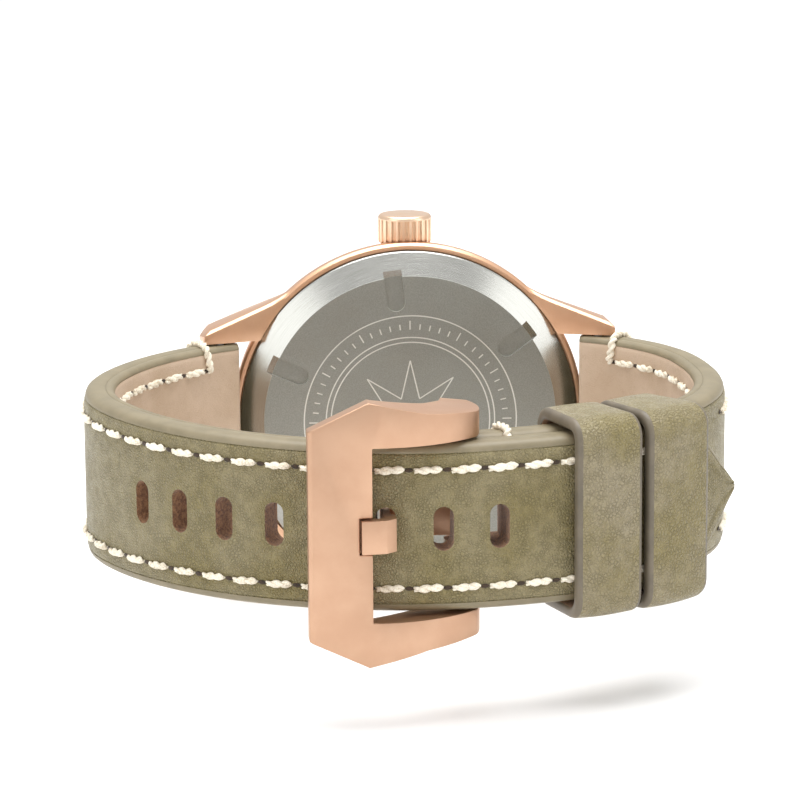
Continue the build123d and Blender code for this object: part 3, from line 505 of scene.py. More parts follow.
@dataclass(frozen=True)
class RawHide:
    """Cut leather fibre, as on the walls of the strap holes and inside the keepers."""

    name: str
    tone: tuple
    deep: tuple

    def material(self) -> bpy.types.Material:
        """Builds the material.

        Returns:
            The material.
        """
        material, tree, shader, place = start_material(self.name)
        fibre = tree.add("ShaderNodeTexNoise", {"Vector": place, "Scale": 2600.0, "Detail": 8.0,
                                                "Roughness": 0.75})
        nap = tree.ramp(fibre.outputs["Fac"], 0.34, 0.66)
        colour = tree.mix(nap, self.deep, self.tone)
        rough = tree.math("MULTIPLY_ADD", nap, 0.12, 0.74)
        wire(tree, shader, Base_Color=colour, Roughness=rough,
             Normal=bump(tree, fibre.outputs["Fac"], 0.00009), Sheen_Weight=0.2)
        return material


@dataclass(frozen=True)
class Thread:
    """Waxed twisted thread with fine plies."""

    name: str = "cream_thread"
    tone: tuple = linear(244, 236, 218)
    shade: tuple = linear(206, 192, 166)

    def material(self) -> bpy.types.Material:
        """Builds the material.

        Returns:
            The material.
        """
        material, tree, shader, place = start_material(self.name)
        fibre = tree.add("ShaderNodeTexNoise", {"Vector": place, "Scale": 5200.0, "Detail": 5.0})
        soil = tree.add("ShaderNodeTexNoise", {"Vector": place, "Scale": 330.0, "Detail": 3.0})
        share = tree.math("MULTIPLY", fibre.outputs["Fac"], soil.outputs["Fac"])
        colour = tree.mix(tree.ramp(share, 0.18, 0.42), self.tone, self.shade)
        rough = tree.math("MULTIPLY_ADD", fibre.outputs["Fac"], 0.2, 0.55)
        wire(tree, shader, Base_Color=colour, Roughness=rough,
             Normal=bump(tree, fibre.outputs["Fac"], 0.00004), Sheen_Weight=0.15)
        return material


@dataclass(frozen=True)
class Coated:
    """Paint, rubber, lume or dial lacquer: one tone that drifts, with a fine surface."""

    name: str
    tone: tuple
    other: tuple
    roughness: float = 0.4
    scale: float = 2500.0
    depth: float = 0.000006

    def material(self) -> bpy.types.Material:
        """Builds the material.

        Returns:
            The material.
        """
        material, tree, shader, place = start_material(self.name)
        fine = tree.add("ShaderNodeTexNoise", {"Vector": place, "Scale": self.scale, "Detail": 5.0})
        drift = tree.ramp(fine.outputs["Fac"], 0.3, 0.7)
        rough = tree.math("MULTIPLY_ADD", drift, 0.12, self.roughness)
        wire(tree, shader, Base_Color=tree.mix(drift, self.tone, self.other), Roughness=rough,
             Normal=bump(tree, fine.outputs["Fac"], self.depth))
        return material


@dataclass(frozen=True)
class Clear:
    """Sapphire or ruby: clear, with a trace of smears in its gloss."""

    name: str
    tone: tuple
    index: float = 1.77

    def material(self) -> bpy.types.Material:
        """Builds the material.

        Returns:
            The material.
        """
        material, tree, shader, place = start_material(self.name)
        smear = tree.add("ShaderNodeTexNoise", {"Vector": place, "Scale": 240.0, "Detail": 4.0})
        rough = tree.math("MULTIPLY_ADD", tree.ramp(smear.outputs["Fac"], 0.45, 0.75), 0.03, 0.01)
        wire(tree, shader, Base_Color=self.tone, Roughness=rough, Transmission_Weight=1.0, IOR=self.index)
        return material


# ---------------------------------------------------------------- mesh helpers
def set_materials(mesh: bpy.types.Mesh, materials: Iterable[bpy.types.Material]) -> None:
    """Gives a mesh its materials and keeps each face's slot number.

    Args:
        mesh: The mesh.
        materials: Its materials, in slot order.
    """
    slots = [0] * len(mesh.polygons)
    mesh.polygons.foreach_get("material_index", slots)
    mesh.materials.clear()
    for material in materials:
        mesh.materials.append(material)
    mesh.polygons.foreach_set("material_index", slots)


def new_piece(name: str, mesh: bpy.types.Mesh, materials: Iterable[bpy.types.Material],
              sharp: float = 40.0) -> bpy.types.Object:
    """Links a finished mesh, its normals smooth up to an angle.

    Args:
        name: The piece's name.
        mesh: Its mesh, in metres in the row frame.
        materials: Its materials, in slot order.
        sharp: Edges over this angle, in degrees, stay sharp.

    Returns:
        The object, at the origin.
    """
    piece = bpy.data.objects.new(name, mesh)
    bpy.context.scene.collection.objects.link(piece)
    set_materials(mesh, materials)
    mesh.shade_smooth()
    mesh.set_sharp_from_angle(angle=math.radians(sharp))
    return piece


def mesh_from(name: str, points: Sequence[Vector], faces: Sequence[Sequence[int]],
              slots: Sequence[int] | None = None) -> bpy.types.Mesh:
    """Mesh from points and faces, its normals turned outwards.

    Args:
        name: The mesh's name.
        points: Corners in the row frame, in metres.
        faces: Corner numbers of each face.
        slots: Material slot of each face.

    Returns:
        The mesh.
    """
    mesh = bpy.data.meshes.new(name)
    mesh.from_pydata([tuple(p) for p in points], [], [tuple(f) for f in faces])
    if slots is not None:
        mesh.polygons.foreach_set("material_index", slots)
    form = bmesh.new()
    form.from_mesh(mesh)
    bmesh.ops.recalc_face_normals(form, faces=form.faces[:])
    form.to_mesh(mesh)
    form.free()
    return mesh


def softened(node: str, name: str, width: float, angle: float = 35.0) -> bpy.types.Mesh:
    """Merged copy of a CAD node with its sharp edges rounded off.

    Args:
        node: The CAD node to copy.
        name: The new mesh's name.
        width: Width of the rounding in mm.
        angle: Edges that turn more than this, in degrees, are rounded.

    Returns:
        The new mesh.
    """
    form = bmesh.new()
    form.from_mesh(frame["nodes"][node].data)
    bmesh.ops.remove_doubles(form, verts=form.verts[:], dist=0.002 * MM)
    bmesh.ops.dissolve_degenerate(form, edges=form.edges[:], dist=0.001 * MM)
    bmesh.ops.dissolve_limit(form, angle_limit=math.radians(0.4), verts=form.verts[:], edges=form.edges[:])
    sharp = [e for e in form.edges if len(e.link_faces) == 2 and e.calc_face_angle(0) > math.radians(angle)]
    bmesh.ops.bevel(form, geom=sharp, offset=width * MM, offset_type="OFFSET", segments=2, profile=0.6,
                    affect="EDGES", clamp_overlap=True)
    bmesh.ops.triangulate(form, faces=[f for f in form.faces if len(f.verts) > 4])
    mesh = bpy.data.meshes.new(name)
    form.to_mesh(mesh)
    form.free()
    return mesh


def loft(sections: Sequence[Sequence[Vector]], capped: bool = True,
         looped: bool = False) -> tuple[list[Vector], list[tuple], list[int]]:
    """Joins closed sections of equal length into one skin.

    Args:
        sections: Rings of points.
        capped: Whether the first and last rings are filled.
        looped: Whether the last ring joins the first.

    Returns:
        Points, faces and, for each face, the number of its first point within its ring, or -1 for a cap.
    """
    count = len(sections[0])
    points = [p for ring in sections for p in ring]
    faces, columns = [], []
    rings = len(sections) if looped else len(sections) - 1
    for r in range(rings):
        here, there = r * count, (r + 1) % len(sections) * count
        for c in range(count):
            d = (c + 1) % count
            faces.append((here + c, here + d, there + d, there + c))
            columns.append(c)
    if capped and not looped:
        faces.append(tuple(range(count)))
        faces.append(tuple(reversed(range((len(sections) - 1) * count, len(sections) * count))))
        columns += [-1, -1]
    return points, faces, columns


def join_skin(points: list[Vector], faces: list[tuple], more: Sequence[Vector],
              more_faces: Sequence[tuple]) -> None:
    """Adds one skin's points and faces to another's lists.

    Args:
        points, faces: The lists that grow.
        more, more_faces: The skin that is added.
    """
    first = len(points)
    faces += [tuple(i + first for i in face) for face in more_faces]
    points += more


def cut_away(piece: bpy.types.Object, cutter: bpy.types.Mesh) -> None:
    """Cuts a mesh out of a piece; the cut walls take the cutter's material slot numbers.

    Args:
        piece: The piece that is cut.
        cutter: The mesh that is taken away.
    """
    materials = list(piece.data.materials)
    set_materials(cutter, materials)
    tool = bpy.data.objects.new(piece.name + "_cutter", cutter)
    bpy.context.scene.collection.objects.link(tool)
    boolean = piece.modifiers.new("cut", "BOOLEAN")
    boolean.operation = "DIFFERENCE"
    boolean.solver = "EXACT"
    boolean.object = tool
    evaluated = piece.evaluated_get(bpy.context.evaluated_depsgraph_get())
    mesh = bpy.data.meshes.new_from_object(evaluated)
    piece.modifiers.remove(boolean)
    piece.data = mesh
    set_materials(mesh, materials)
    bpy.data.objects.remove(tool)


def made_by(tree: bpy.types.NodeTree, base: bpy.types.Mesh, name: str, values: dict) -> bpy.types.Mesh:
    """Runs a geometry tree on a base mesh and returns the result as a plain mesh.

    Args:
        tree: The geometry tree.
        base: Mesh that it starts from.
        name: The result's name.
        values: Values of its inputs by name.

    Returns:
        The plain mesh.
    """
    holder = bpy.data.objects.new(name + "_base", base)
    bpy.context.scene.collection.objects.link(holder)
    nodes = holder.modifiers.new("build", "NODES")
    nodes.node_group = tree
    for item in tree.interface.items_tree:
        if item.item_type == "SOCKET" and item.in_out == "INPUT" and item.name in values:
            nodes[item.identifier] = values[item.name]
    bpy.context.view_layer.update()
    evaluated = holder.evaluated_get(bpy.context.evaluated_depsgraph_get())
    mesh = bpy.data.meshes.new_from_object(evaluated)
    mesh.name = name
    bpy.data.objects.remove(holder)
    return mesh


def laid(tree: Tree) -> bpy.types.NodeSocket:
    """Rotation that lays an instance along its run, its top outwards.

    Args:
        tree: A geometry tree whose points carry the two directions.

    Returns:
        The rotation's socket.
    """
    along, outward = (tree.add("GeometryNodeInputNamedAttribute", {"Name": label},
                               data_type="FLOAT_VECTOR").outputs[0] for label in ("along", "outward"))
    return tree.add("FunctionNodeAxesToRotation", {0: outward, 1: along}, primary_axis="Z",
                    secondary_axis="X").outputs[0]


def made_real(tree: Tree, instances: bpy.types.NodeSocket, material: bpy.types.NodeSocket,
              smooth: bool = True) -> bpy.types.NodeSocket:
    """Turns a tree's instances into plain geometry with its material.

    Args:
        tree: The geometry tree.
        instances: The instances' socket.
        material: The material's socket.
        smooth: Whether its faces are shaded smooth.

    Returns:
        The finished geometry's socket.
    """
    shape = tree.add("GeometryNodeRealizeInstances", {0: instances}).outputs[0]
    if smooth:
        shape = tree.add("GeometryNodeSetShadeSmooth", {0: shape}).outputs[0]
    return tree.add("GeometryNodeSetMaterial", {"Geometry": shape, "Material": material}).outputs[0]


def dress(piece: bpy.types.Object, body: str, slot: str, *nodes: str) -> bpy.types.Object:
    """Puts a finished piece on its body and hides the CAD nodes that it stands for.

    Args:
        piece: The finished piece.
        body: The body that carries it.
        slot: Its material slot; not used.
        nodes: The CAD nodes that it replaces.

    Returns:
        The same piece.
    """
    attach(piece, body)
    if nodes:
        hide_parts(*nodes)
    log.info("%s: %d faces on %s", piece.name, len(piece.data.polygons), body)
    return piece


# ---------------------------------------------------------------- strap path
class StrapPath:
    """Chain of tangent arcs in the XY plane, followed from the lug to the strap's end, in mm.

    The arcs are laid out turning anticlockwise from the -X side; side 1 keeps them there and side -1 mirrors
    them to the +X side.
    """

    def __init__(self, side: int, heading: float, arcs: Sequence[Point2]) -> None:
        """Lays the arcs end to end from the spring bar.

        Args:
            side: 1 or -1, as above.
            heading: Direction at the spring bar, in degrees.
            arcs: (radius, degrees) of each arc.
        """
        self.side = side
        self.pieces: list[tuple[float, float, Point2, float, float]] = []
        x, y, angle = -STRAP_START[0], STRAP_START[1], math.radians(heading)
        self.length = 0.0
        for radius, degrees in arcs:
            centre = (x - radius * math.sin(angle), y + radius * math.cos(angle))
            turn = math.radians(degrees)
            self.pieces.append((self.length, radius * turn, centre, radius, angle))
            angle += turn
            self.length += radius * turn
            x = centre[0] + radius * math.sin(angle)
            y = centre[1] - radius * math.cos(angle)

    def at(self, s: float, offset: float = 0.0) -> Point2:
        """Point at length s, moved outwards by offset.

        Args:
            s: Length along the path.
            offset: Distance outwards.

        Returns:
            The point's x and y.
        """
        start, _, centre, radius, angle = next(
            (p for p in self.pieces if s <= p[0] + p[1]), self.pieces[-1])
        turned = angle + (s - start) / radius
        reach = radius + offset
        return self.side * (centre[0] + reach * math.sin(turned)), centre[1] - reach * math.cos(turned)

    def outward(self, s: float) -> Vector:
        """Unit vector away from the wrist."""
        near, far = self.at(s), self.at(s, 1.0)
        return Vector((far[0] - near[0], far[1] - near[1], 0.0)).normalized()

    def along(self, s: float) -> Vector:
        """Unit vector towards the strap's end."""
        near, far = self.at(s - 0.02), self.at(s + 0.02)
        return Vector((far[0] - near[0], far[1] - near[1], 0.0)).normalized()

    def place(self, s: float, height: float, z: float) -> Vector:
        """Row-frame point at a length, a height over the middle surface and a place across."""
        x, y = self.at(s, height)
        return at(x, y, z)

    def half_width(self, s: float) -> float:
        """Half the strap's width, which narrows towards the buckle."""
        return STRAP_W0 / 2 + STRAP_TAPER * self.at(s)[1]

    def nearest(self, x: float, low: float, high: float) -> float:
        """Length between low and high where the path crosses x.

        Args:
            x: Place that the path crosses.
            low, high: Lengths on either side of it.

        Returns:
            The length.
        """
        for _ in range(40):
            middle = (low + high) / 2
            if (self.at(middle)[0] - x) * (self.at(low)[0] - x) <= 0:
                high = middle
            else:
                low = middle
        return low


STRAP_T, LINING_T, STRAP_GAP = 3.6, 1.1, 0.15
STRAP_W0, STRAP_TAPER, STRAP_START = 19.9, 0.014, (21.3, -0.3)
SHORT_ARCS = ((20.1, 50.3), (41.4, 14.5), (26.2, 59.2), (48.4, 22.5))
LONG_ARCS = ((30.013, 44.0), (21.278, 40.16), (36.64, 57.84), (33.96, 17.5))
OVER = STRAP_T + STRAP_GAP
TIP_SWEEP = 29.0
SHORT = StrapPath(-1, 208.0, SHORT_ARCS)
LONG = StrapPath(1, 206.0, LONG_ARCS + ((SHORT_ARCS[3][0] + OVER, SHORT_ARCS[3][1]),
                                        (SHORT_ARCS[2][0] + OVER, TIP_SWEEP)))
OVERLAP_START = LONG.pieces[3][0] + LONG.pieces[3][1]
TONGUE_HOLE_S = LONG.nearest(-7.6, 40.0, OVERLAP_START)
PIVOT = (0.4, -51.7)
BAR = (22.95, -1.23)
STITCH_INSET = 2.7
HOLE_PITCH, HOLE_COUNT, TONGUE_HOLE = 5.9, 8, 5
KEEPER_W, KEEPER_1_END = 7.1, SHORT.length - 10.4
KEEPER_2_END = KEEPER_1_END - 7.75

# (distance in from the edge, height over the middle surface) of half the hide's section, from the seam up
HIDE_EDGE = ((0.12, -0.70), (0.02, -0.5), (0.0, -0.1), (0.0, 0.4), (0.04, 0.85), (0.17, 1.2), (0.4, 1.48),
             (0.7, 1.63), (0.92, 1.66))
HIDE_FACE = ((1.0, 1.58), (1.1, 1.7), (1.3, 1.78), (1.7, 1.81), (2.15, 1.80), (2.4, 1.72), (2.7, 1.66),
             (3.0, 1.72), (3.25, 1.80), (3.7, 1.83))
LINING_EDGE = ((0.12, -0.72), (0.03, -0.95), (0.08, -1.3), (0.27, -1.58), (0.55, -1.73), (0.72, -1.75))
LINING_FACE = ((0.78, -1.70), (0.88, -1.77), (1.3, -1.80), (2.3, -1.80), (2.7, -1.75), (3.1, -1.80))
MIDDLE_POINTS = 11       # points from the last listed one to the strap's centre
FULL_INSET = 3.9         # the listed insets shrink where half the strap is narrower than this


def smooth_min(first: float, second: float, radius: float) -> float:
    """Smaller of two values, rounded where they meet."""
    blend = max(radius - abs(first - second), 0.0) / radius
    return min(first, second) - blend * blend * radius / 4


def box_mesh(name: str, low: Point3, high: Point3) -> bpy.types.Mesh:
    """Box between two corners of the case's frame, in mm.

    Args:
        name: The mesh's name.
        low, high: The two corners.

    Returns:
        The mesh, every face in the cut slot.
    """
    corners = [at(x, y, z) for x in (low[0], high[0]) for y in (low[1], high[1]) for z in (low[2], high[2])]
    faces = [(0, 1, 3, 2), (4, 6, 7, 5), (0, 4, 5, 1), (2, 3, 7, 6), (0, 2, 6, 4), (1, 5, 7, 3)]
    return mesh_from(name, corners, faces, [CUT_SLOT] * len(faces))


def pin_mesh(name: str, x: float, y: float, radius: float, half: float) -> bpy.types.Mesh:
    """Round pin parallel to Z through a point of the case's frame, in mm.

    Args:
        name: The mesh's name.
        x, y: The pin's middle.
        radius, half: Its radius and half its length.

    Returns:
        The mesh, every face in the cut slot.
    """
    sides = 28
    rings = [[at(x + radius * math.cos(math.tau * k / sides), y + radius * math.sin(math.tau * k / sides), z)
              for k in range(sides)] for z in (-half, half)]
    points, faces, _ = loft(rings)
    return mesh_from(name, points, faces, [CUT_SLOT] * len(faces))



@dataclass
class StrapHalf:
    """One half of the strap: a grained hide and a smooth lining with painted edges, sizes in mm."""

    name: str
    path: StrapPath
    end: float
    holes: tuple[float, ...] = ()
    tip: float = 0.0         # length at which the pointed end closes, or 0 for a folded end
    step: float = 0.6
    hole_long: float = 4.8
    hole_wide: float = 2.2
    rim: float = 0.9

    def half_width(self, s: float) -> float:
        """Half the width at a length, drawn in towards a pointed end."""
        half = self.path.half_width(s)
        return smooth_min(half, max(self.tip - s, 0.06) * 1.02, 1.2) if self.tip else half

    def stations(self) -> list[float]:
        """Lengths of the sections, close together at the ends.

        Returns:
            The lengths in order.
        """
        near = [0.0, 0.08, 0.2, 0.4, 0.7]
        count = round((self.end - 3.0) / self.step)
        even = [1.0 + (self.end - 3.0) * k / count for k in range(count + 1)]
        gaps = (1.7, 1.4, 1.1, 0.85, 0.6, 0.4, 0.22, 0.1, 0.03, 0.0)
        return near + even + [self.end - gap for gap in gaps]

    def thickness(self, s: float) -> float:
        """Share of the full thickness, less at the two ends.

        Args:
            s: Length along the path.

        Returns:
            The share, 1 for the full thickness.
        """
        start = 0.86 + 0.14 * min(s / 0.5, 1.0) ** 0.5
        left = self.end - s
        if self.tip:
            return start * (0.8 + 0.2 * min(left / 0.6, 1.0) ** 0.5)
        reach = STRAP_T / 2
        return start * (0.15 + 0.85 * math.sqrt(max(1 - (1 - min(left / reach, 1.0)) ** 2, 0.0)))

    def hole_gap(self, s: float, z: float) -> float:
        """Distance from the nearest hole's outline, or a large number.

        Args:
            s: Length along the path.
            z: Place across the strap.

        Returns:
            The distance, below 0 inside a hole.
        """
        gap = 99.0
        straight = (self.hole_long - self.hole_wide) / 2
        for hole in self.holes:
            reach = math.hypot(s - hole, max(abs(z) - straight, 0.0)) - self.hole_wide / 2
            gap = min(gap, reach)
        return gap

    def section(self, s: float, edge: Sequence[Point2], face: Sequence[Point2]) -> list[tuple[float, float]]:
        """Closed section as (z, height) points, from the seam at one edge to the seam at the other.

        Args:
            s: Length along the path.
            edge: Insets and heights of the painted edge.
            face: Insets and heights of the visible face.

        Returns:
            The points in order.
        """
        half = self.half_width(s)
        scale = min(1.0, half / FULL_INSET)
        listed = [((half - inset * scale), height) for inset, height in (*edge, *face)]
        z_last, h_last = listed[-1]
        middle = [(z_last * (1 - k / MIDDLE_POINTS), h_last) for k in range(1, MIDDLE_POINTS)]
        one_side = listed + middle
        return one_side + [(0.0, h_last)] + [(-z, h) for z, h in reversed(one_side)]

    def skin(self, name: str, edge: Sequence[Point2], face: Sequence[Point2],
             sign: float) -> tuple[bpy.types.Mesh, list[float]]:
        """Lofts one layer.

        Args:
            name: The mesh's name.
            edge: Insets and heights of the painted edge.
            face: Insets and heights of the visible face.
            sign: 1 for the hide and -1 for the lining.

        Returns:
            The mesh, and how rubbed each point is.
        """
        rings, rubbed = [], []
        for s in self.stations():
            squeeze = self.thickness(s)
            ring = []
            for z, height in self.section(s, edge, face):
                near_hole = max(0.0, 1 - max(self.hole_gap(s, z), 0.0) / self.rim)
                on_face = abs(height) > 1.6
                wave = 0.035 * noise.noise(Vector((s * 0.16, z * 0.22, 3.0 * sign))) if on_face else 0.0
                sink = 0.16 * near_hole ** 2 if on_face else 0.0
                ring.append(self.path.place(s, (height + wave - sign * sink) * squeeze, z))
                rubbed.append(near_hole)
            rings.append(ring)
        points, faces, columns = loft(rings)
        last_edge = len(edge) - 1
        last_face = len(rings[0]) - len(edge)
        slots = [EDGE_SLOT if c < last_edge or c >= last_face else FACE_SLOT for c in columns]
        return mesh_from(name, points, faces, slots), rubbed

    def cutters(self) -> list[bpy.types.Mesh]:
        """Slotted holes, the spring bars' holes and the tongue's slot.

        Returns:
            One mesh for each.
        """
        side = self.path.side
        tools = [pin_mesh("bar_hole", -side * BAR[0], BAR[1], 0.93, 14.0)]
        if not self.tip:
            tools.append(box_mesh("tongue_slot", (PIVOT[0] - 4, PIVOT[1] - 4, -2.4),
                                  (PIVOT[0] + 4.6, PIVOT[1] + 4, 2.4)))
            tools.append(pin_mesh("buckle_bar_hole", *PIVOT, 0.9, 14.0))
        tools += [self.hole_cutter(s) for s in self.holes]
        return tools

    def hole_cutter(self, s: float) -> bpy.types.Mesh:
        """Stadium prism through both layers, long across the strap.

        Args:
            s: Length of the hole's middle.

        Returns:
            The cutter's mesh.
        """
        sides, straight, radius = 36, (self.hole_long - self.hole_wide) / 2, self.hole_wide / 2
        centre = Vector((*self.path.at(s), 0.0))
        along, outward = self.path.along(s), self.path.outward(s)
        rings = []
        for height in (-3.0, 3.0):
            ring = []
            for k in range(sides):
                turn = math.tau * (k + 0.5) / sides
                z = radius * math.sin(turn) + math.copysign(straight, math.sin(turn))
                point = centre + along * (radius * math.cos(turn)) + outward * height
                ring.append(at(point.x, point.y, z))
            rings.append(ring)
        points, faces, _ = loft(rings)
        return mesh_from("hole", points, faces, [CUT_SLOT] * len(faces))

    def build(self, finishes: "Finishes") -> None:
        """Makes the hide and the lining and puts them on the head.

        Args:
            finishes: The watch's materials.
        """
        layers = (("hide", HIDE_EDGE, HIDE_FACE, 1.0, finishes.hide, "leather", self.name),
                  ("inside", LINING_EDGE, LINING_FACE, -1.0, finishes.lining, "lining",
                   self.name + "_lining"))
        for word, edge, face, sign, finish, slot, node in layers:
            name = f"{self.name}_{word}"
            mesh, rubbed = self.skin(name, edge, face, sign)
            mesh.attributes.new("rubbed", "FLOAT", "POINT").data.foreach_set("value", rubbed)
            piece = new_piece(name, mesh, (finish, finishes.edge, finishes.hole_wall), 50.0)
            for tool in self.cutters():
                cut_away(piece, tool)
            piece.data.shade_smooth()
            piece.data.set_sharp_from_angle(angle=math.radians(50.0))
            dress(piece, "head", slot, node)


# ---------------------------------------------------------------- keepers
@dataclass
class Keeper:
    """Leather loop round both straps, sizes in mm along and around the short strap's path."""

    name: str
    node: str
    body: str
    start: float
    end: float
    thick: float = 1.3
    inner_half: float = 9.75
    low: float = -STRAP_T / 2 - 0.25
    high: float = STRAP_T / 2 + OVER + 0.6
    corner: float = 1.1
    corner_steps: int = 7

    def contour(self) -> list[tuple[float, float, float, float]]:
        """Inner outline as (z, height) points with their outward directions.

        Returns:
            The points in order.
        """
        half_z, radius = self.inner_half, self.corner
        centres = ((half_z - radius, self.high - radius, 0), (-half_z + radius, self.high - radius, 90),
                   (-half_z + radius, self.low + radius, 180), (half_z - radius, self.low + radius, 270))
        found = []
        for z, h, first in centres:
            for k in range(self.corner_steps + 1):
                turn = math.radians(first + 90 * k / self.corner_steps)
                found.append((z + radius * math.cos(turn), h + radius * math.sin(turn), math.cos(turn),
                              math.sin(turn)))
        return self._filled(found)

    @staticmethod
    def _filled(found: list[tuple[float, float, float, float]]) -> list[tuple[float, float, float, float]]:
        """Adds points on the straight runs, about 0.9 mm apart.

        Args:
            found: The outline's points.

        Returns:
            The fuller outline.
        """
        filled = []
        for here, there in zip(found, found[1:] + found[:1]):
            filled.append(here)
            gap = math.hypot(there[0] - here[0], there[1] - here[1])
            parts = max(1, round(gap / 0.9))
            for k in range(1, parts):
                share = k / parts
                filled.append(tuple(a + (b - a) * share for a, b in zip(here, there)))
        return filled

    def strip(self) -> list[tuple[float, float, int]]:
        """Closed section of the leather strip: (length, height over the inner face, slot of the next face).

        Returns:
            The points in order.
        """
        s0, s1, t = self.start, self.end, self.thick
        span = s1 - s0
        top = [(s0 + 0.5 + (span - 1.0) * k / 12, t + 0.1 * math.sin(math.pi * k / 12), FACE_SLOT)
               for k in range(12)]
        right = [(s1 - 0.5, t, EDGE_SLOT), (s1 - 0.2, t - 0.1, EDGE_SLOT), (s1 - 0.03, t - 0.4, EDGE_SLOT),
                 (s1, 0.35, EDGE_SLOT), (s1 - 0.15, 0.05, CUT_SLOT)]
        under = [(s1 - 0.3 - (span - 0.6) * k / 6, 0.0, CUT_SLOT) for k in range(7)]
        left = [(s0 + 0.15, 0.05, EDGE_SLOT), (s0, 0.35, EDGE_SLOT), (s0 + 0.03, t - 0.4, EDGE_SLOT),
                (s0 + 0.2, t - 0.1, EDGE_SLOT)]
        return top + right + under + left

    def build(self, finishes: "Finishes") -> None:
        """Makes the loop and puts it on its body.

        Args:
            finishes: The watch's materials.
        """
        strip, contour = self.strip(), self.contour()
        rings = [[SHORT.place(s, h + out_h * t, z + out_z * t) for s, t, _ in strip]
                 for z, h, out_z, out_h in contour]
        points, faces, columns = loft(rings, looped=True)
        mesh = mesh_from(self.name, points, faces, [strip[c][2] for c in columns])
        rubbed = [0.35 if abs(z) > self.inner_half - 1.5 and h > 0 else 0.0
                  for z, h, _, _ in contour for _ in strip]
        mesh.attributes.new("rubbed", "FLOAT", "POINT").data.foreach_set("value", rubbed)
        looks = (finishes.keeper_hide, finishes.keeper_edge, finishes.raw_tan)
        dress(new_piece(self.name, mesh, looks, 60.0), self.body, "leather", self.node)


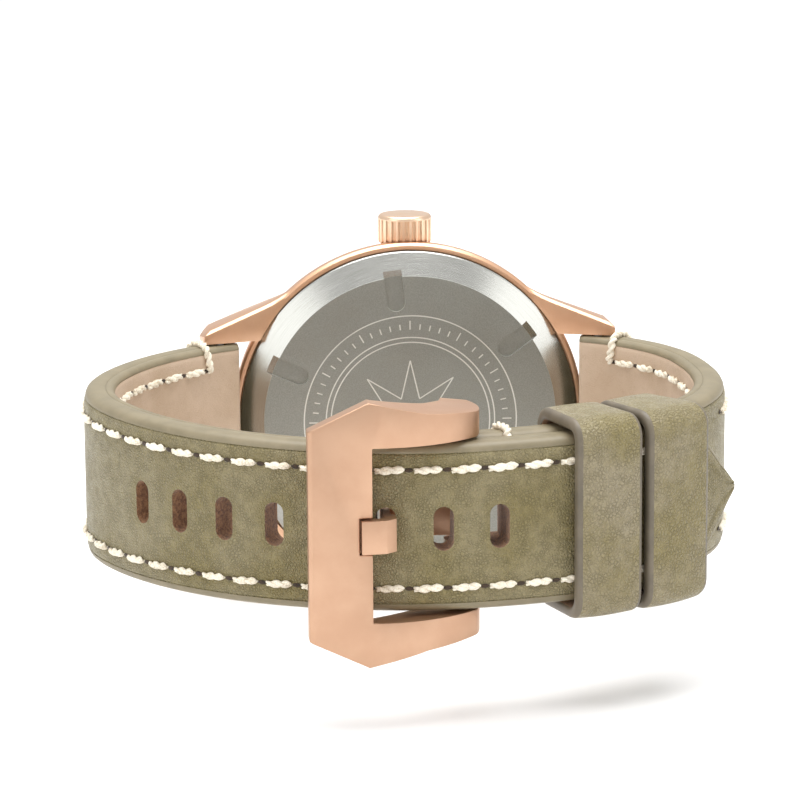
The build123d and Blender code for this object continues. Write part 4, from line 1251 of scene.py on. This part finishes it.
# ---------------------------------------------------------------- stitching
@dataclass
class Stitching:
    """Cream two-ply stitches in rows, needle holes of painted shade and the turns over the strap's edges, in
    mm.
    """

    pitch: float = 3.9
    stitch: float = 3.05
    ply: float = 0.3
    offset: float = 0.19
    first: float = 5.2

    def stitch_tree(self) -> bpy.types.NodeTree:
        """Geometry tree: a twisted stitch on every point, laid along its run and lifted off the face.

        Returns:
            The tree.
        """
        tree, given, out = new_group(
            "stitches", "GeometryNodeTree",
            [("Points", "NodeSocketGeometry", None), ("Length", "NodeSocketFloat", 0.0035),
             ("Ply", "NodeSocketFloat", 0.00025), ("Offset", "NodeSocketFloat", 0.0002),
             ("Lift", "NodeSocketFloat", 0.0004), ("Turns", "NodeSocketFloat", 1.6),
             ("Slant", "NodeSocketFloat", 0.12), ("Seed", "NodeSocketInt", 7),
             ("Material", "NodeSocketMaterial", None)],
            [("Stitches", "NodeSocketGeometry")])
        plies = [self._ply(tree, given, phase) for phase in (0.0, math.pi)]
        both = tree.add("GeometryNodeJoinGeometry")
        for ply in plies:
            tree.link(ply, both.inputs[0])
        low = tree.math("MULTIPLY", given["Slant"], 0.4)
        swing = tree.add("FunctionNodeRandomValue", {2: low, 3: given["Slant"], "Seed": given["Seed"]},
                         data_type="FLOAT")
        about = tree.add("ShaderNodeCombineXYZ", {2: swing.outputs[1]})
        slanted = tree.add("FunctionNodeRotateRotation", rotation_space="LOCAL")
        tree.link(laid(tree), slanted.inputs[0])
        tree.link(about.outputs[0], slanted.inputs[1])
        size = tree.add("FunctionNodeRandomValue", {2: 0.94, 3: 1.05, "Seed": given["Seed"]},
                        data_type="FLOAT")
        dots = tree.add("GeometryNodeMeshToPoints", {"Mesh": given["Points"]})
        spread = tree.add("GeometryNodeInstanceOnPoints", {
            "Points": dots.outputs[0], "Instance": both.outputs[0], "Rotation": slanted.outputs[0],
            "Scale": size.outputs[1]})
        tree.link(made_real(tree, spread.outputs[0], given["Material"]), out["Stitches"])
        return tree.tree

    @staticmethod
    def _ply(tree: Tree, given: dict, phase: float) -> bpy.types.NodeSocket:
        """One ply: a line wound round the stitch, arched over the face, made into a tube.

        Args:
            tree: The tree that the nodes are added to.
            given: The tree's inputs by name.
            phase: The ply's first angle.

        Returns:
            The tube's socket.
        """
        half = tree.math("MULTIPLY", given["Length"], 0.5)
        start = tree.add("ShaderNodeCombineXYZ", {0: tree.math("MULTIPLY", half, -1.0)})
        end = tree.add("ShaderNodeCombineXYZ", {0: half})
        line = tree.add("GeometryNodeCurvePrimitiveLine", {"Start": start.outputs[0], "End": end.outputs[0]})
        runs = tree.add("GeometryNodeResampleCurve", {"Curve": line.outputs[0], "Count": 10})
        share = tree.add("GeometryNodeSplineParameter").outputs["Factor"]
        wound = tree.math("MULTIPLY", tree.math("MULTIPLY", share, given["Turns"]), math.tau)
        angle = tree.math("ADD", wound, phase)
        across = tree.math("MULTIPLY", tree.math("COSINE", angle), given["Offset"])
        upward = tree.math("MULTIPLY", tree.math("SINE", angle), given["Offset"])
        arch = tree.math("SINE", tree.math("MULTIPLY", share, math.pi))
        lift = tree.math("MULTIPLY", tree.math("POWER", arch, 0.45), given["Lift"])
        shift = tree.add("ShaderNodeCombineXYZ", {1: across, 2: tree.math("ADD", upward, lift)})
        placed = tree.add("GeometryNodeSetPosition", {"Geometry": runs.outputs[0],
                                                      "Offset": shift.outputs[0]})
        ring = tree.add("GeometryNodeCurvePrimitiveCircle", {"Resolution": 5, "Radius": given["Ply"]})
        taper = tree.math("MULTIPLY_ADD", tree.math("POWER", arch, 0.5), 0.55, 0.45)
        tapered = tree.add("GeometryNodeSetCurveRadius", {"Curve": placed.outputs[0], "Radius": taper})
        tube = tree.add("GeometryNodeCurveToMesh", {"Curve": tapered.outputs[0], "Scale": taper,
                                                    "Profile Curve": ring.outputs[0], "Fill Caps": True})
        return tube.outputs[0]

    @staticmethod
    def needle_tree() -> bpy.types.NodeTree:
        """Geometry tree: a flat dark dimple on every point, painted shade that stands for a needle hole.

        Returns:
            The tree.
        """
        tree, given, out = new_group(
            "needle_holes", "GeometryNodeTree",
            [("Points", "NodeSocketGeometry", None), ("Radius", "NodeSocketFloat", 0.0004),
             ("Material", "NodeSocketMaterial", None)],
            [("Holes", "NodeSocketGeometry")])
        ball = tree.add("GeometryNodeMeshIcoSphere", {"Radius": given["Radius"], "Subdivisions": 2})
        dots = tree.add("GeometryNodeMeshToPoints", {"Mesh": given["Points"]})
        spread = tree.add("GeometryNodeInstanceOnPoints", {
            "Points": dots.outputs[0], "Instance": ball.outputs[0], "Rotation": laid(tree),
            "Scale": (1.5, 0.75, 0.22)})
        tree.link(made_real(tree, spread.outputs[0], given["Material"]), out["Holes"])
        return tree.tree

    def row_place(self, half: StrapHalf, s: float, edge: int, height: float) -> Vector:
        """Point of a stitch row, which keeps its inset along a pointed end too.

        Args:
            half: The strap half.
            s: Length along the path.
            edge: 1 or -1 for the strap's two sides.
            height: Height over the middle surface.

        Returns:
            The point in the row frame.
        """
        z = half.path.half_width(s) - STITCH_INSET
        if half.tip:
            z = min(z, max((half.tip - s) * 1.02 - STITCH_INSET * 1.42, 0.0))
        return half.path.place(s, height, edge * z)

    def row(self, half: StrapHalf, start: float, end: float, face: float,
            between: bool) -> list[tuple[Vector, Vector, Vector]]:
        """Places of one strap's stitches, or of the needle holes between them.

        Args:
            half: The strap half.
            start, end: Lengths where the rows begin and end.
            face: Height of the rows over the middle surface, below 0 on the lining.
            between: Whether to give the needle holes.

        Returns:
            Place, direction along and direction outwards of each.
        """
        places = []
        count = int((end - start) / self.pitch)
        for number in range(count + between):
            s = start + self.pitch * (number + (0.0 if between else 0.5))
            for edge in (1, -1):
                ahead = self.row_place(half, s + 0.1, edge, face)
                behind = self.row_place(half, s - 0.1, edge, face)
                outward = half.path.outward(s) * math.copysign(1.0, face)
                places.append((self.row_place(half, s, edge, face), (ahead - behind).normalized(), outward))
        return places

    @staticmethod
    def cloud(name: str, places: Sequence[tuple[Vector, Vector, Vector]]) -> bpy.types.Mesh:
        """Mesh of loose points that carry their two directions.

        Args:
            name: The mesh's name.
            places: Place, direction along and direction outwards of each.

        Returns:
            The mesh.
        """
        mesh = bpy.data.meshes.new(name)
        mesh.from_pydata([tuple(p) for p, _, _ in places], [], [])
        for label, number in (("along", 1), ("outward", 2)):
            values = [v for place in places for v in place[number]]
            mesh.attributes.new(label, "FLOAT_VECTOR", "POINT").data.foreach_set("vector", values)
        return mesh

    def turn_over(self, half: StrapHalf, s: float, edge: int) -> tuple[list[Vector], list[tuple]]:
        """Thread that runs from the face over the strap's edge to the lining.

        Args:
            half: The strap half.
            s: Length along the path.
            edge: 1 or -1 for the strap's two sides.

        Returns:
            Points and faces of its two plies.
        """
        width = half.path.half_width(s)
        row = width - STITCH_INSET
        outline = ((row - 0.1, 1.45), (row + 0.35, 2.05), (row + 1.2, 2.08), (width - 0.45, 1.95),
                   (width + 0.17, 1.45), (width + 0.3, 0.5), (width + 0.3, -0.5), (width + 0.2, -1.35),
                   (width - 0.4, -1.95), (row + 1.2, -2.08), (row + 0.35, -2.05), (row - 0.1, -1.45))
        line = rounded([half.path.place(s + 0.25 * math.sin(k), h, edge * z)
                        for k, (z, h) in enumerate(outline)], 5)
        points: list[Vector] = []
        faces: list[tuple] = []
        for phase in (0.0, math.pi):
            rings = wound_rings(line, self.ply * MM, self.offset * MM, 6.0, phase)
            join_skin(points, faces, *loft(rings)[:2])
        return points, faces

    def build(self, long_half: StrapHalf, short_half: StrapHalf, finishes: "Finishes") -> None:
        """Makes the stitches, the needle holes and the turned threads.

        Args:
            long_half, short_half: The strap's two halves.
            finishes: The watch's materials.
        """
        rows = ((long_half, self.first, LONG.length - 4.6), (short_half, self.first, 34.0 + self.first))
        tree, holes = self.stitch_tree(), self.needle_tree()
        for word, face in (("face", 1.74), ("lining", -1.8)):
            places = [p for half, start, end in rows for p in self.row(half, start, end, face, False)]
            values = {"Length": self.stitch * MM, "Ply": self.ply * MM, "Offset": self.offset * MM,
                      "Lift": 0.14 * MM, "Turns": 1.25, "Slant": 0.07, "Seed": 11,
                      "Material": finishes.thread}
            name = f"stitches_{word}"
            mesh = made_by(tree, self.cloud(name, places), name, values)
            piece = new_piece(name, mesh, (finishes.thread,), 80.0)
            dress(piece, "head", "thread", *(("stitching",) if word == "face" else ()))
            # needle holes: flat dark dimples, painted shade of the holes
            places = [p for half, start, end in rows for p in self.row(half, start, end, face, True)]
            name = f"needle_holes_{word}"
            mesh = made_by(holes, self.cloud(name, places), name,
                           {"Radius": 0.33 * MM, "Material": finishes.needle_hole})
            dress(new_piece(name, mesh, (finishes.needle_hole,), 80.0), "head", "leather")
        points: list[Vector] = []
        faces: list[tuple] = []
        turns = [(long_half, self.first - 0.3), (short_half, self.first - 0.3),
                 (short_half, SHORT.nearest(5.3, 35.0, SHORT.length))]
        for half, s in turns:
            for edge in (1, -1):
                join_skin(points, faces, *self.turn_over(half, s, edge))
        mesh = mesh_from("turned_threads", points, faces)
        dress(new_piece("turned_threads", mesh, (finishes.thread,), 80.0), "head", "thread")


def rounded(corners: Sequence[Vector], parts: int) -> list[Vector]:
    """Smooth line through corners, with some parts between each pair.

    Args:
        corners: Points that the line passes.
        parts: Points from one corner to the next.

    Returns:
        The line's points.
    """
    padded = [corners[0] * 2 - corners[1], *corners, corners[-1] * 2 - corners[-2]]
    line = []
    for a, b, c, d in zip(padded, padded[1:], padded[2:], padded[3:]):
        for k in range(parts):
            t = k / parts
            line.append(0.5 * (2 * b + (c - a) * t + (2 * a - 5 * b + 4 * c - d) * t ** 2
                               + (3 * b - a - 3 * c + d) * t ** 3))
    return line + [corners[-1]]


def wound_rings(line: Sequence[Vector], ply: float, offset: float, turns: float,
                phase: float) -> list[list[Vector]]:
    """Rings of a ply wound round a line.

    Args:
        line: Points of the thread's middle.
        ply: The ply's radius.
        offset: Its distance from the middle.
        turns: How often it winds.
        phase: Its first angle.

    Returns:
        A ring of points for each point of the line.
    """
    middle, sides = [], 6
    side_ref = Vector((0.3, 0.9, 0.2)).normalized()
    for k, point in enumerate(line):
        ahead = (line[min(k + 1, len(line) - 1)] - line[max(k - 1, 0)]).normalized()
        first = (side_ref - ahead * side_ref.dot(ahead)).normalized()
        side_ref = first
        second = ahead.cross(first)
        angle = phase + math.tau * turns * k / (len(line) - 1)
        middle.append((point + (first * math.cos(angle) + second * math.sin(angle)) * offset, first, second))
    return [[centre + (first * math.cos(math.tau * n / sides) + second * math.sin(math.tau * n / sides)) * ply
             for n in range(sides)] for centre, first, second in middle]


# ---------------------------------------------------------------- metal parts
@dataclass
class SoftenedMetal:
    """Metal parts whose cut edges are rounded so that they catch the light, widths in mm."""

    parts: tuple[tuple[str, str, str, float], ...] = (
        ("case_middle", "mid_case", "head", 0.14),
        ("crown_knob", "crown", "crown", 0.05),
        ("buckle_body", "buckle_frame", "buckle_frame", 0.2),
        ("buckle_prong", "buckle_tongue", "buckle_tongue", 0.18),
    )

    def build(self, finishes: "Finishes") -> None:
        """Makes each part and puts it on its body.

        Args:
            finishes: The watch's materials.
        """
        looks = {"case_middle": finishes.bronze, "crown_knob": finishes.crown_bronze_highlit,
                 "buckle_body": finishes.buckle_bronze, "buckle_prong": finishes.buckle_bronze}
        for name, node, body, width in self.parts:
            mesh = softened(node, name, width)
            dress(new_piece(name, mesh, (looks[name],), 32.0), body, "bronze", node)


# ---------------------------------------------------------------- dial side
@dataclass(frozen=True)
class Scale:
    """A printed scale of sixty ticks round the case axis, sizes in mm; every fifth tick is longer."""

    name: str
    body: str
    slot: str
    radius: float
    long: float
    wide: float
    top: float
    fifth: float


@dataclass
class DialSide:
    """Printed scales, bezel numbers and the hands' lume, sizes in mm."""

    insert_top: float = 11.25
    dial_top: float = 7.8
    print_rise: float = 0.02
    tick_thick: float = 0.05
    numbers: tuple[int, ...] = (10, 20, 30, 40, 50)
    number_size: float = 1.05
    number_radius: float = 17.88

    @staticmethod
    def tick_tree() -> bpy.types.NodeTree:
        """Geometry tree: flat ticks evenly round a circle about +Y, every fifth one longer.

        Returns:
            The tree.
        """
        tree, given, out = new_group(
            "ticks", "GeometryNodeTree",
            [("Base", "NodeSocketGeometry", None), ("Count", "NodeSocketInt", 60),
             ("Radius", "NodeSocketFloat", 0.018), ("Long", "NodeSocketFloat", 0.001),
             ("Wide", "NodeSocketFloat", 0.0002), ("Thick", "NodeSocketFloat", 0.00003),
             ("Fifth", "NodeSocketFloat", 1.5), ("Centre", "NodeSocketVector", None),
             ("Material", "NodeSocketMaterial", None)],
            [("Ticks", "NodeSocketGeometry")])
        step = tree.math("DIVIDE", math.tau, given["Count"])
        dots = tree.add("GeometryNodePoints", {"Count": given["Count"]})
        number = tree.add("GeometryNodeInputIndex").outputs[0]
        angle = tree.math("MULTIPLY", number, step)
        across = tree.math("MULTIPLY", tree.math("COSINE", angle), given["Radius"])
        upward = tree.math("MULTIPLY", tree.math("SINE", angle), given["Radius"])
        spot = tree.add("ShaderNodeCombineXYZ", {0: across, 2: upward})
        centred = tree.add("ShaderNodeVectorMath", {0: spot.outputs[0], 1: given["Centre"]}, operation="ADD")
        placed = tree.add("GeometryNodeSetPosition", {"Geometry": dots.outputs[0],
                                                      "Position": centred.outputs[0]})
        size = tree.add("ShaderNodeCombineXYZ", {0: given["Long"], 1: given["Thick"], 2: given["Wide"]})
        brick = tree.add("GeometryNodeMeshCube", {"Size": size.outputs[0]})
        turned = tree.add("ShaderNodeCombineXYZ", {1: tree.math("MULTIPLY", angle, -1.0)})
        fifth = tree.math("COMPARE", tree.math("MODULO", number, 5.0), 0.0, 0.1)
        grow = tree.math("MULTIPLY_ADD", fifth, tree.math("SUBTRACT", given["Fifth"], 1.0), 1.0)
        scale = tree.add("ShaderNodeCombineXYZ", {0: grow, 1: 1.0, 2: grow})
        spread = tree.add("GeometryNodeInstanceOnPoints", {
            "Points": placed.outputs[0], "Instance": brick.outputs[0], "Rotation": turned.outputs[0],
            "Scale": scale.outputs[0]})
        tree.link(made_real(tree, spread.outputs[0], given["Material"], False), out["Ticks"])
        return tree.tree

    def build(self, finishes: "Finishes") -> None:
        """Makes the scales, numbers and lume plates.

        Args:
            finishes: The watch's materials.
        """
        tree = self.tick_tree()
        scales = ((Scale("bezel_ticks", "bezel", "lume", 18.58, 0.36, 0.2, self.insert_top, 1.25),
                   finishes.lume),
                  (Scale("minute_track", "head", "dial_paint", 13.55, 0.55, 0.13, self.dial_top, 1.5),
                   finishes.print_white))
        for scale, look in scales:
            values = {"Count": 60, "Radius": scale.radius * MM, "Long": scale.long * MM,
                      "Wide": scale.wide * MM, "Thick": self.tick_thick * MM, "Fifth": scale.fifth,
                      "Centre": tuple(at(0, scale.top + self.print_rise, 0)), "Material": look}
            mesh = made_by(tree, bpy.data.meshes.new(scale.name + "_seed"), scale.name, values)
            dress(new_piece(scale.name, mesh, (look,), 30.0), scale.body, scale.slot)
        self.build_numbers(finishes)
        self.build_hand_lume(finishes)

    def build_numbers(self, finishes: "Finishes") -> None:
        """Plain minute numbers round the bezel insert, read from the middle.

        Args:
            finishes: The watch's materials.
        """
        form = bmesh.new()
        for number in self.numbers:
            text = bpy.data.curves.new(f"number_{number}", "FONT")
            text.body, text.size, text.extrude = str(number), self.number_size, self.print_rise
            text.align_x, text.align_y, text.resolution_u = "CENTER", "CENTER", 3
            holder = bpy.data.objects.new(text.name, text)
            bpy.context.scene.collection.objects.link(holder)
            evaluated = holder.evaluated_get(bpy.context.evaluated_depsgraph_get())
            mesh = bpy.data.meshes.new_from_object(evaluated)
            bpy.data.objects.remove(holder)
            turn = math.radians(6 * number)
            up = Vector((math.cos(turn), 0.0, math.sin(turn)))
            right = Vector((-math.sin(turn), 0.0, math.cos(turn)))
            middle = Vector((0.0, self.insert_top + self.print_rise, 0.0)) + up * self.number_radius
            for vertex in mesh.vertices:
                x, y, z = vertex.co
                point = middle + right * x + up * y + Vector((0.0, z, 0.0))
                vertex.co = at(*point)
            form.from_mesh(mesh)
        mesh = bpy.data.meshes.new("bezel_numbers")
        bmesh.ops.recalc_face_normals(form, faces=form.faces[:])
        form.to_mesh(mesh)
        form.free()
        dress(new_piece("bezel_numbers", mesh, (finishes.lume,), 30.0), "bezel", "lume")

    def build_hand_lume(self, finishes: "Finishes") -> None:
        """Lume plates let into the hour and minute hands.

        Args:
            finishes: The watch's materials.
        """
        shapes = (("hour_lume", "hours", 304.3, ((3.9, 0.55), (4.4, 0.68), (6.4, 0.68), (7.9, 0.1)), 8.2),
                  ("minute_lume", "minutes", 51.6, ((4.4, 0.45), (5.0, 0.58), (10.4, 0.58), (11.9, 0.1)),
                   8.7))
        for name, body, angle, outline, top in shapes:
            turn = math.radians(angle)
            both = [*outline, *[(x, -z) for x, z in reversed(outline)]]
            rings = []
            for y in (top - 0.02, top + 0.05):
                rings.append([at(x * math.cos(turn) - z * math.sin(turn), y,
                                 x * math.sin(turn) + z * math.cos(turn)) for x, z in both])
            points, faces, _ = loft(rings)
            mesh = mesh_from(name, points, faces)
            dress(new_piece(name, mesh, (finishes.lume,), 30.0), body, "lume")


# ---------------------------------------------------------------- finishes
class Finishes:
    """Every material, built once, and the dressing of the CAD nodes that stay."""

    def __init__(self) -> None:
        """Builds the materials."""
        rose, deep = linear(226, 184, 152), linear(218, 174, 141)
        # pale is a lighter, less saturated copy of the case bronze for the crown: painted highlight
        pale = linear(244, 214, 186)
        self.bronze = Metal("satin_bronze", rose, deep, 0.33, 0.1, 0.000002).material()
        self.crown_bronze_highlit = Metal("crown_bronze_highlit", pale, linear(236, 200, 168), 0.26, 0.08,
                                  0.000001).material()
        self.buckle_bronze = Metal("blasted_bronze", linear(201, 164, 137), linear(195, 157, 130), 0.4, 0.06,
                                   0.000012).material()
        self.hide = Hide("olive_hide", linear(138, 127, 93), linear(126, 114, 72),
                         linear(70, 62, 34)).material()
        self.keeper_hide = Hide("keeper_hide", linear(145, 134, 107), linear(130, 118, 76),
                                linear(78, 69, 42), 2500.0, 0.00011, 0.38, 0.5).material()
        self.lining = Hide("tan_lining", linear(197, 174, 151), linear(185, 161, 136),
                           linear(148, 122, 97), 4200.0, 0.000015, 0.52, 0.2).material()
        self.edge = EdgePaint().material()
        self.keeper_edge = EdgePaint("keeper_edge", linear(96, 88, 74), linear(112, 102, 86)).material()
        self.hole_wall = RawHide("cut_brown_leather", linear(164, 120, 82), linear(92, 58, 34)).material()
        self.raw_tan = RawHide("raw_tan_leather", linear(178, 142, 108), linear(122, 86, 58)).material()
        # dark tones of the needle-hole dimples: painted shade of the holes
        self.needle_hole = RawHide("needle_hole_painted_shade", linear(70, 50, 30), linear(34, 24, 14)).material()
        self.thread = Thread().material()
        self.lume = Coated("pale_lume", linear(226, 234, 214), linear(212, 224, 200), 0.5).material()
        self.print_white = Coated("dial_print", linear(236, 234, 226), linear(222, 220, 210), 0.45).material()
        self.by_slot = {
            "bronze": self.bronze,
            "titanium": CaseBackMetal().material(),
            "leather": self.hide,
            "lining": self.lining,
            "thread": self.thread,
            "sapphire": Clear("sapphire", (0.97, 0.985, 1.0, 1.0)).material(),
            "seal": Coated("black_seal", linear(30, 30, 31), linear(40, 40, 40), 0.55).material(),
            "insert": Coated("bezel_insert", linear(24, 30, 30), linear(32, 38, 37), 0.22, 900.0).material(),
            "lume": self.lume,
            "dial_paint": Coated("dial_lacquer", linear(30, 40, 34), linear(40, 52, 44), 0.5, 1800.0,
                                 0.000012).material(),
            "hand_metal": Metal("hand_bronze", rose, deep, 0.2, 0.08, 0.000001).material(),
            "spring_steel": Metal("spring_steel", linear(196, 198, 202), linear(170, 172, 178), 0.3, 0.12,
                                  0.000002, Axis.Z).material(),
            "steel": Metal("turned_steel", linear(206, 208, 210), linear(180, 182, 186), 0.26, 0.14,
                           0.000002, Axis.ROUND).material(),
            "movement_plate": Metal("rhodium_plate", linear(208, 208, 204), linear(186, 186, 182), 0.3, 0.12,
                                    0.000003, Axis.X).material(),
            "gear_brass": Metal("gilt_brass", linear(220, 190, 124), linear(196, 160, 92), 0.28, 0.1,
                                0.000002, Axis.ROUND).material(),
            "ruby": Clear("ruby", linear(196, 30, 80)).material(),
        }

    def dress_nodes(self) -> None:
        """Gives every CAD node the material of its slot."""
        for part in frame["record"]["subparts"]:
            mesh = frame["nodes"][part["node"]].data
            material = self.by_slot[part["material_slot"]]
            mesh.materials.clear()
            mesh.materials.append(material)


# ---------------------------------------------------------------- studio
@dataclass
class Studio:
    """Camera, floor and soft light, distances in mm from the case axis at the case back."""

    camera_place: Point3 = (-40.7, -438.3, 93.5)
    lens: float = 166.5
    roll: float = -0.34
    shift: Point2 = (-0.0115, 0.0219)

    def camera(self) -> None:
        """Creates the scene's camera."""
        data = bpy.data.cameras.new("view")
        data.lens, data.sensor_width = self.lens, 36.0
        data.shift_x, data.shift_y = self.shift
        data.clip_start, data.clip_end = 0.01, 20.0
        camera = bpy.data.objects.new("view", data)
        bpy.context.scene.collection.objects.link(camera)
        camera.location = at(*self.camera_place)
        toward = ORIGIN - camera.location
        turn = toward.to_track_quat("-Z", "Y").to_matrix().to_4x4() @ Matrix.Rotation(
            math.radians(self.roll), 4, "Z")
        camera.rotation_euler = turn.to_euler()
        bpy.context.scene.camera = camera

    def light(self, name: str, place: Point3, size: float, energy: float) -> None:
        """Adds a square soft light that faces the watch.

        Args:
            name: The light's name.
            place: Where it stands, in metres.
            size: Its side in metres.
            energy: Its power in watts.
        """
        data = bpy.data.lights.new(name, "AREA")
        data.shape, data.size, data.energy = "SQUARE", size, energy
        lamp = bpy.data.objects.new(name, data)
        bpy.context.scene.collection.objects.link(lamp)
        lamp.location = Vector(place)
        target = Vector((0.0, -0.01, 0.02))
        lamp.rotation_euler = (target - lamp.location).to_track_quat("-Z", "Y").to_euler()

    def build(self) -> None:
        """Makes the floor, the sky and the lights."""
        floor = bpy.data.meshes.new("floor")
        reach = 4.0
        floor.from_pydata([(-reach, -reach, 0), (reach, -reach, 0), (reach, reach, 0), (-reach, reach, 0)],
                          [], [(0, 1, 2, 3)])
        ground = bpy.data.objects.new("floor", floor)
        bpy.context.scene.collection.objects.link(ground)
        material = bpy.data.materials.new("pale_floor")
        material.use_nodes = True
        shader = material.node_tree.nodes["Principled BSDF"]
        shader.inputs["Base Color"].default_value = (0.86, 0.86, 0.86, 1.0)
        shader.inputs["Roughness"].default_value = 0.9
        floor.materials.append(material)
        world = bpy.data.worlds.new("studio")
        world.use_nodes = True
        sky = world.node_tree.nodes["Background"]
        sky.inputs["Color"].default_value = (1.0, 1.0, 1.0, 1.0)
        sky.inputs["Strength"].default_value = 0.8
        bpy.context.scene.world = world
        self.light("overhead", (0.0, 0.05, 0.75), 0.7, 8.0)
        self.light("left_front", (-0.75, -0.5, 0.45), 0.6, 1.6)
        self.light("right_front", (0.7, -0.4, 0.4), 0.5, 1.2)
        bpy.context.scene.view_settings.view_transform = "Standard"


def main() -> None:
    """Builds the watch round the CAD frame in order."""
    studio = Studio()
    studio.camera()
    finishes = Finishes()
    finishes.dress_nodes()
    holes = tuple(TONGUE_HOLE_S + HOLE_PITCH * (number - TONGUE_HOLE)
                  for number in range(HOLE_COUNT))
    long_half = StrapHalf("strap_long", LONG, LONG.length + 0.35, holes, LONG.length + 0.4)
    short_half = StrapHalf("strap_short", SHORT, SHORT.length + 1.5)
    for half in (long_half, short_half):
        half.build(finishes)
    for name, node, body, end in (("keeper_sewn", "keeper_fixed", "head", KEEPER_1_END),
                                  ("keeper_sliding", "keeper_free", "keeper_free", KEEPER_2_END)):
        Keeper(name, node, body, end - KEEPER_W, end).build(finishes)
    Stitching().build(long_half, short_half, finishes)
    SoftenedMetal().build(finishes)
    DialSide().build(finishes)
    studio.build()


if __name__ == "__main__":
    logging.basicConfig(level=logging.INFO, format="%(name)s: %(message)s")
    main()
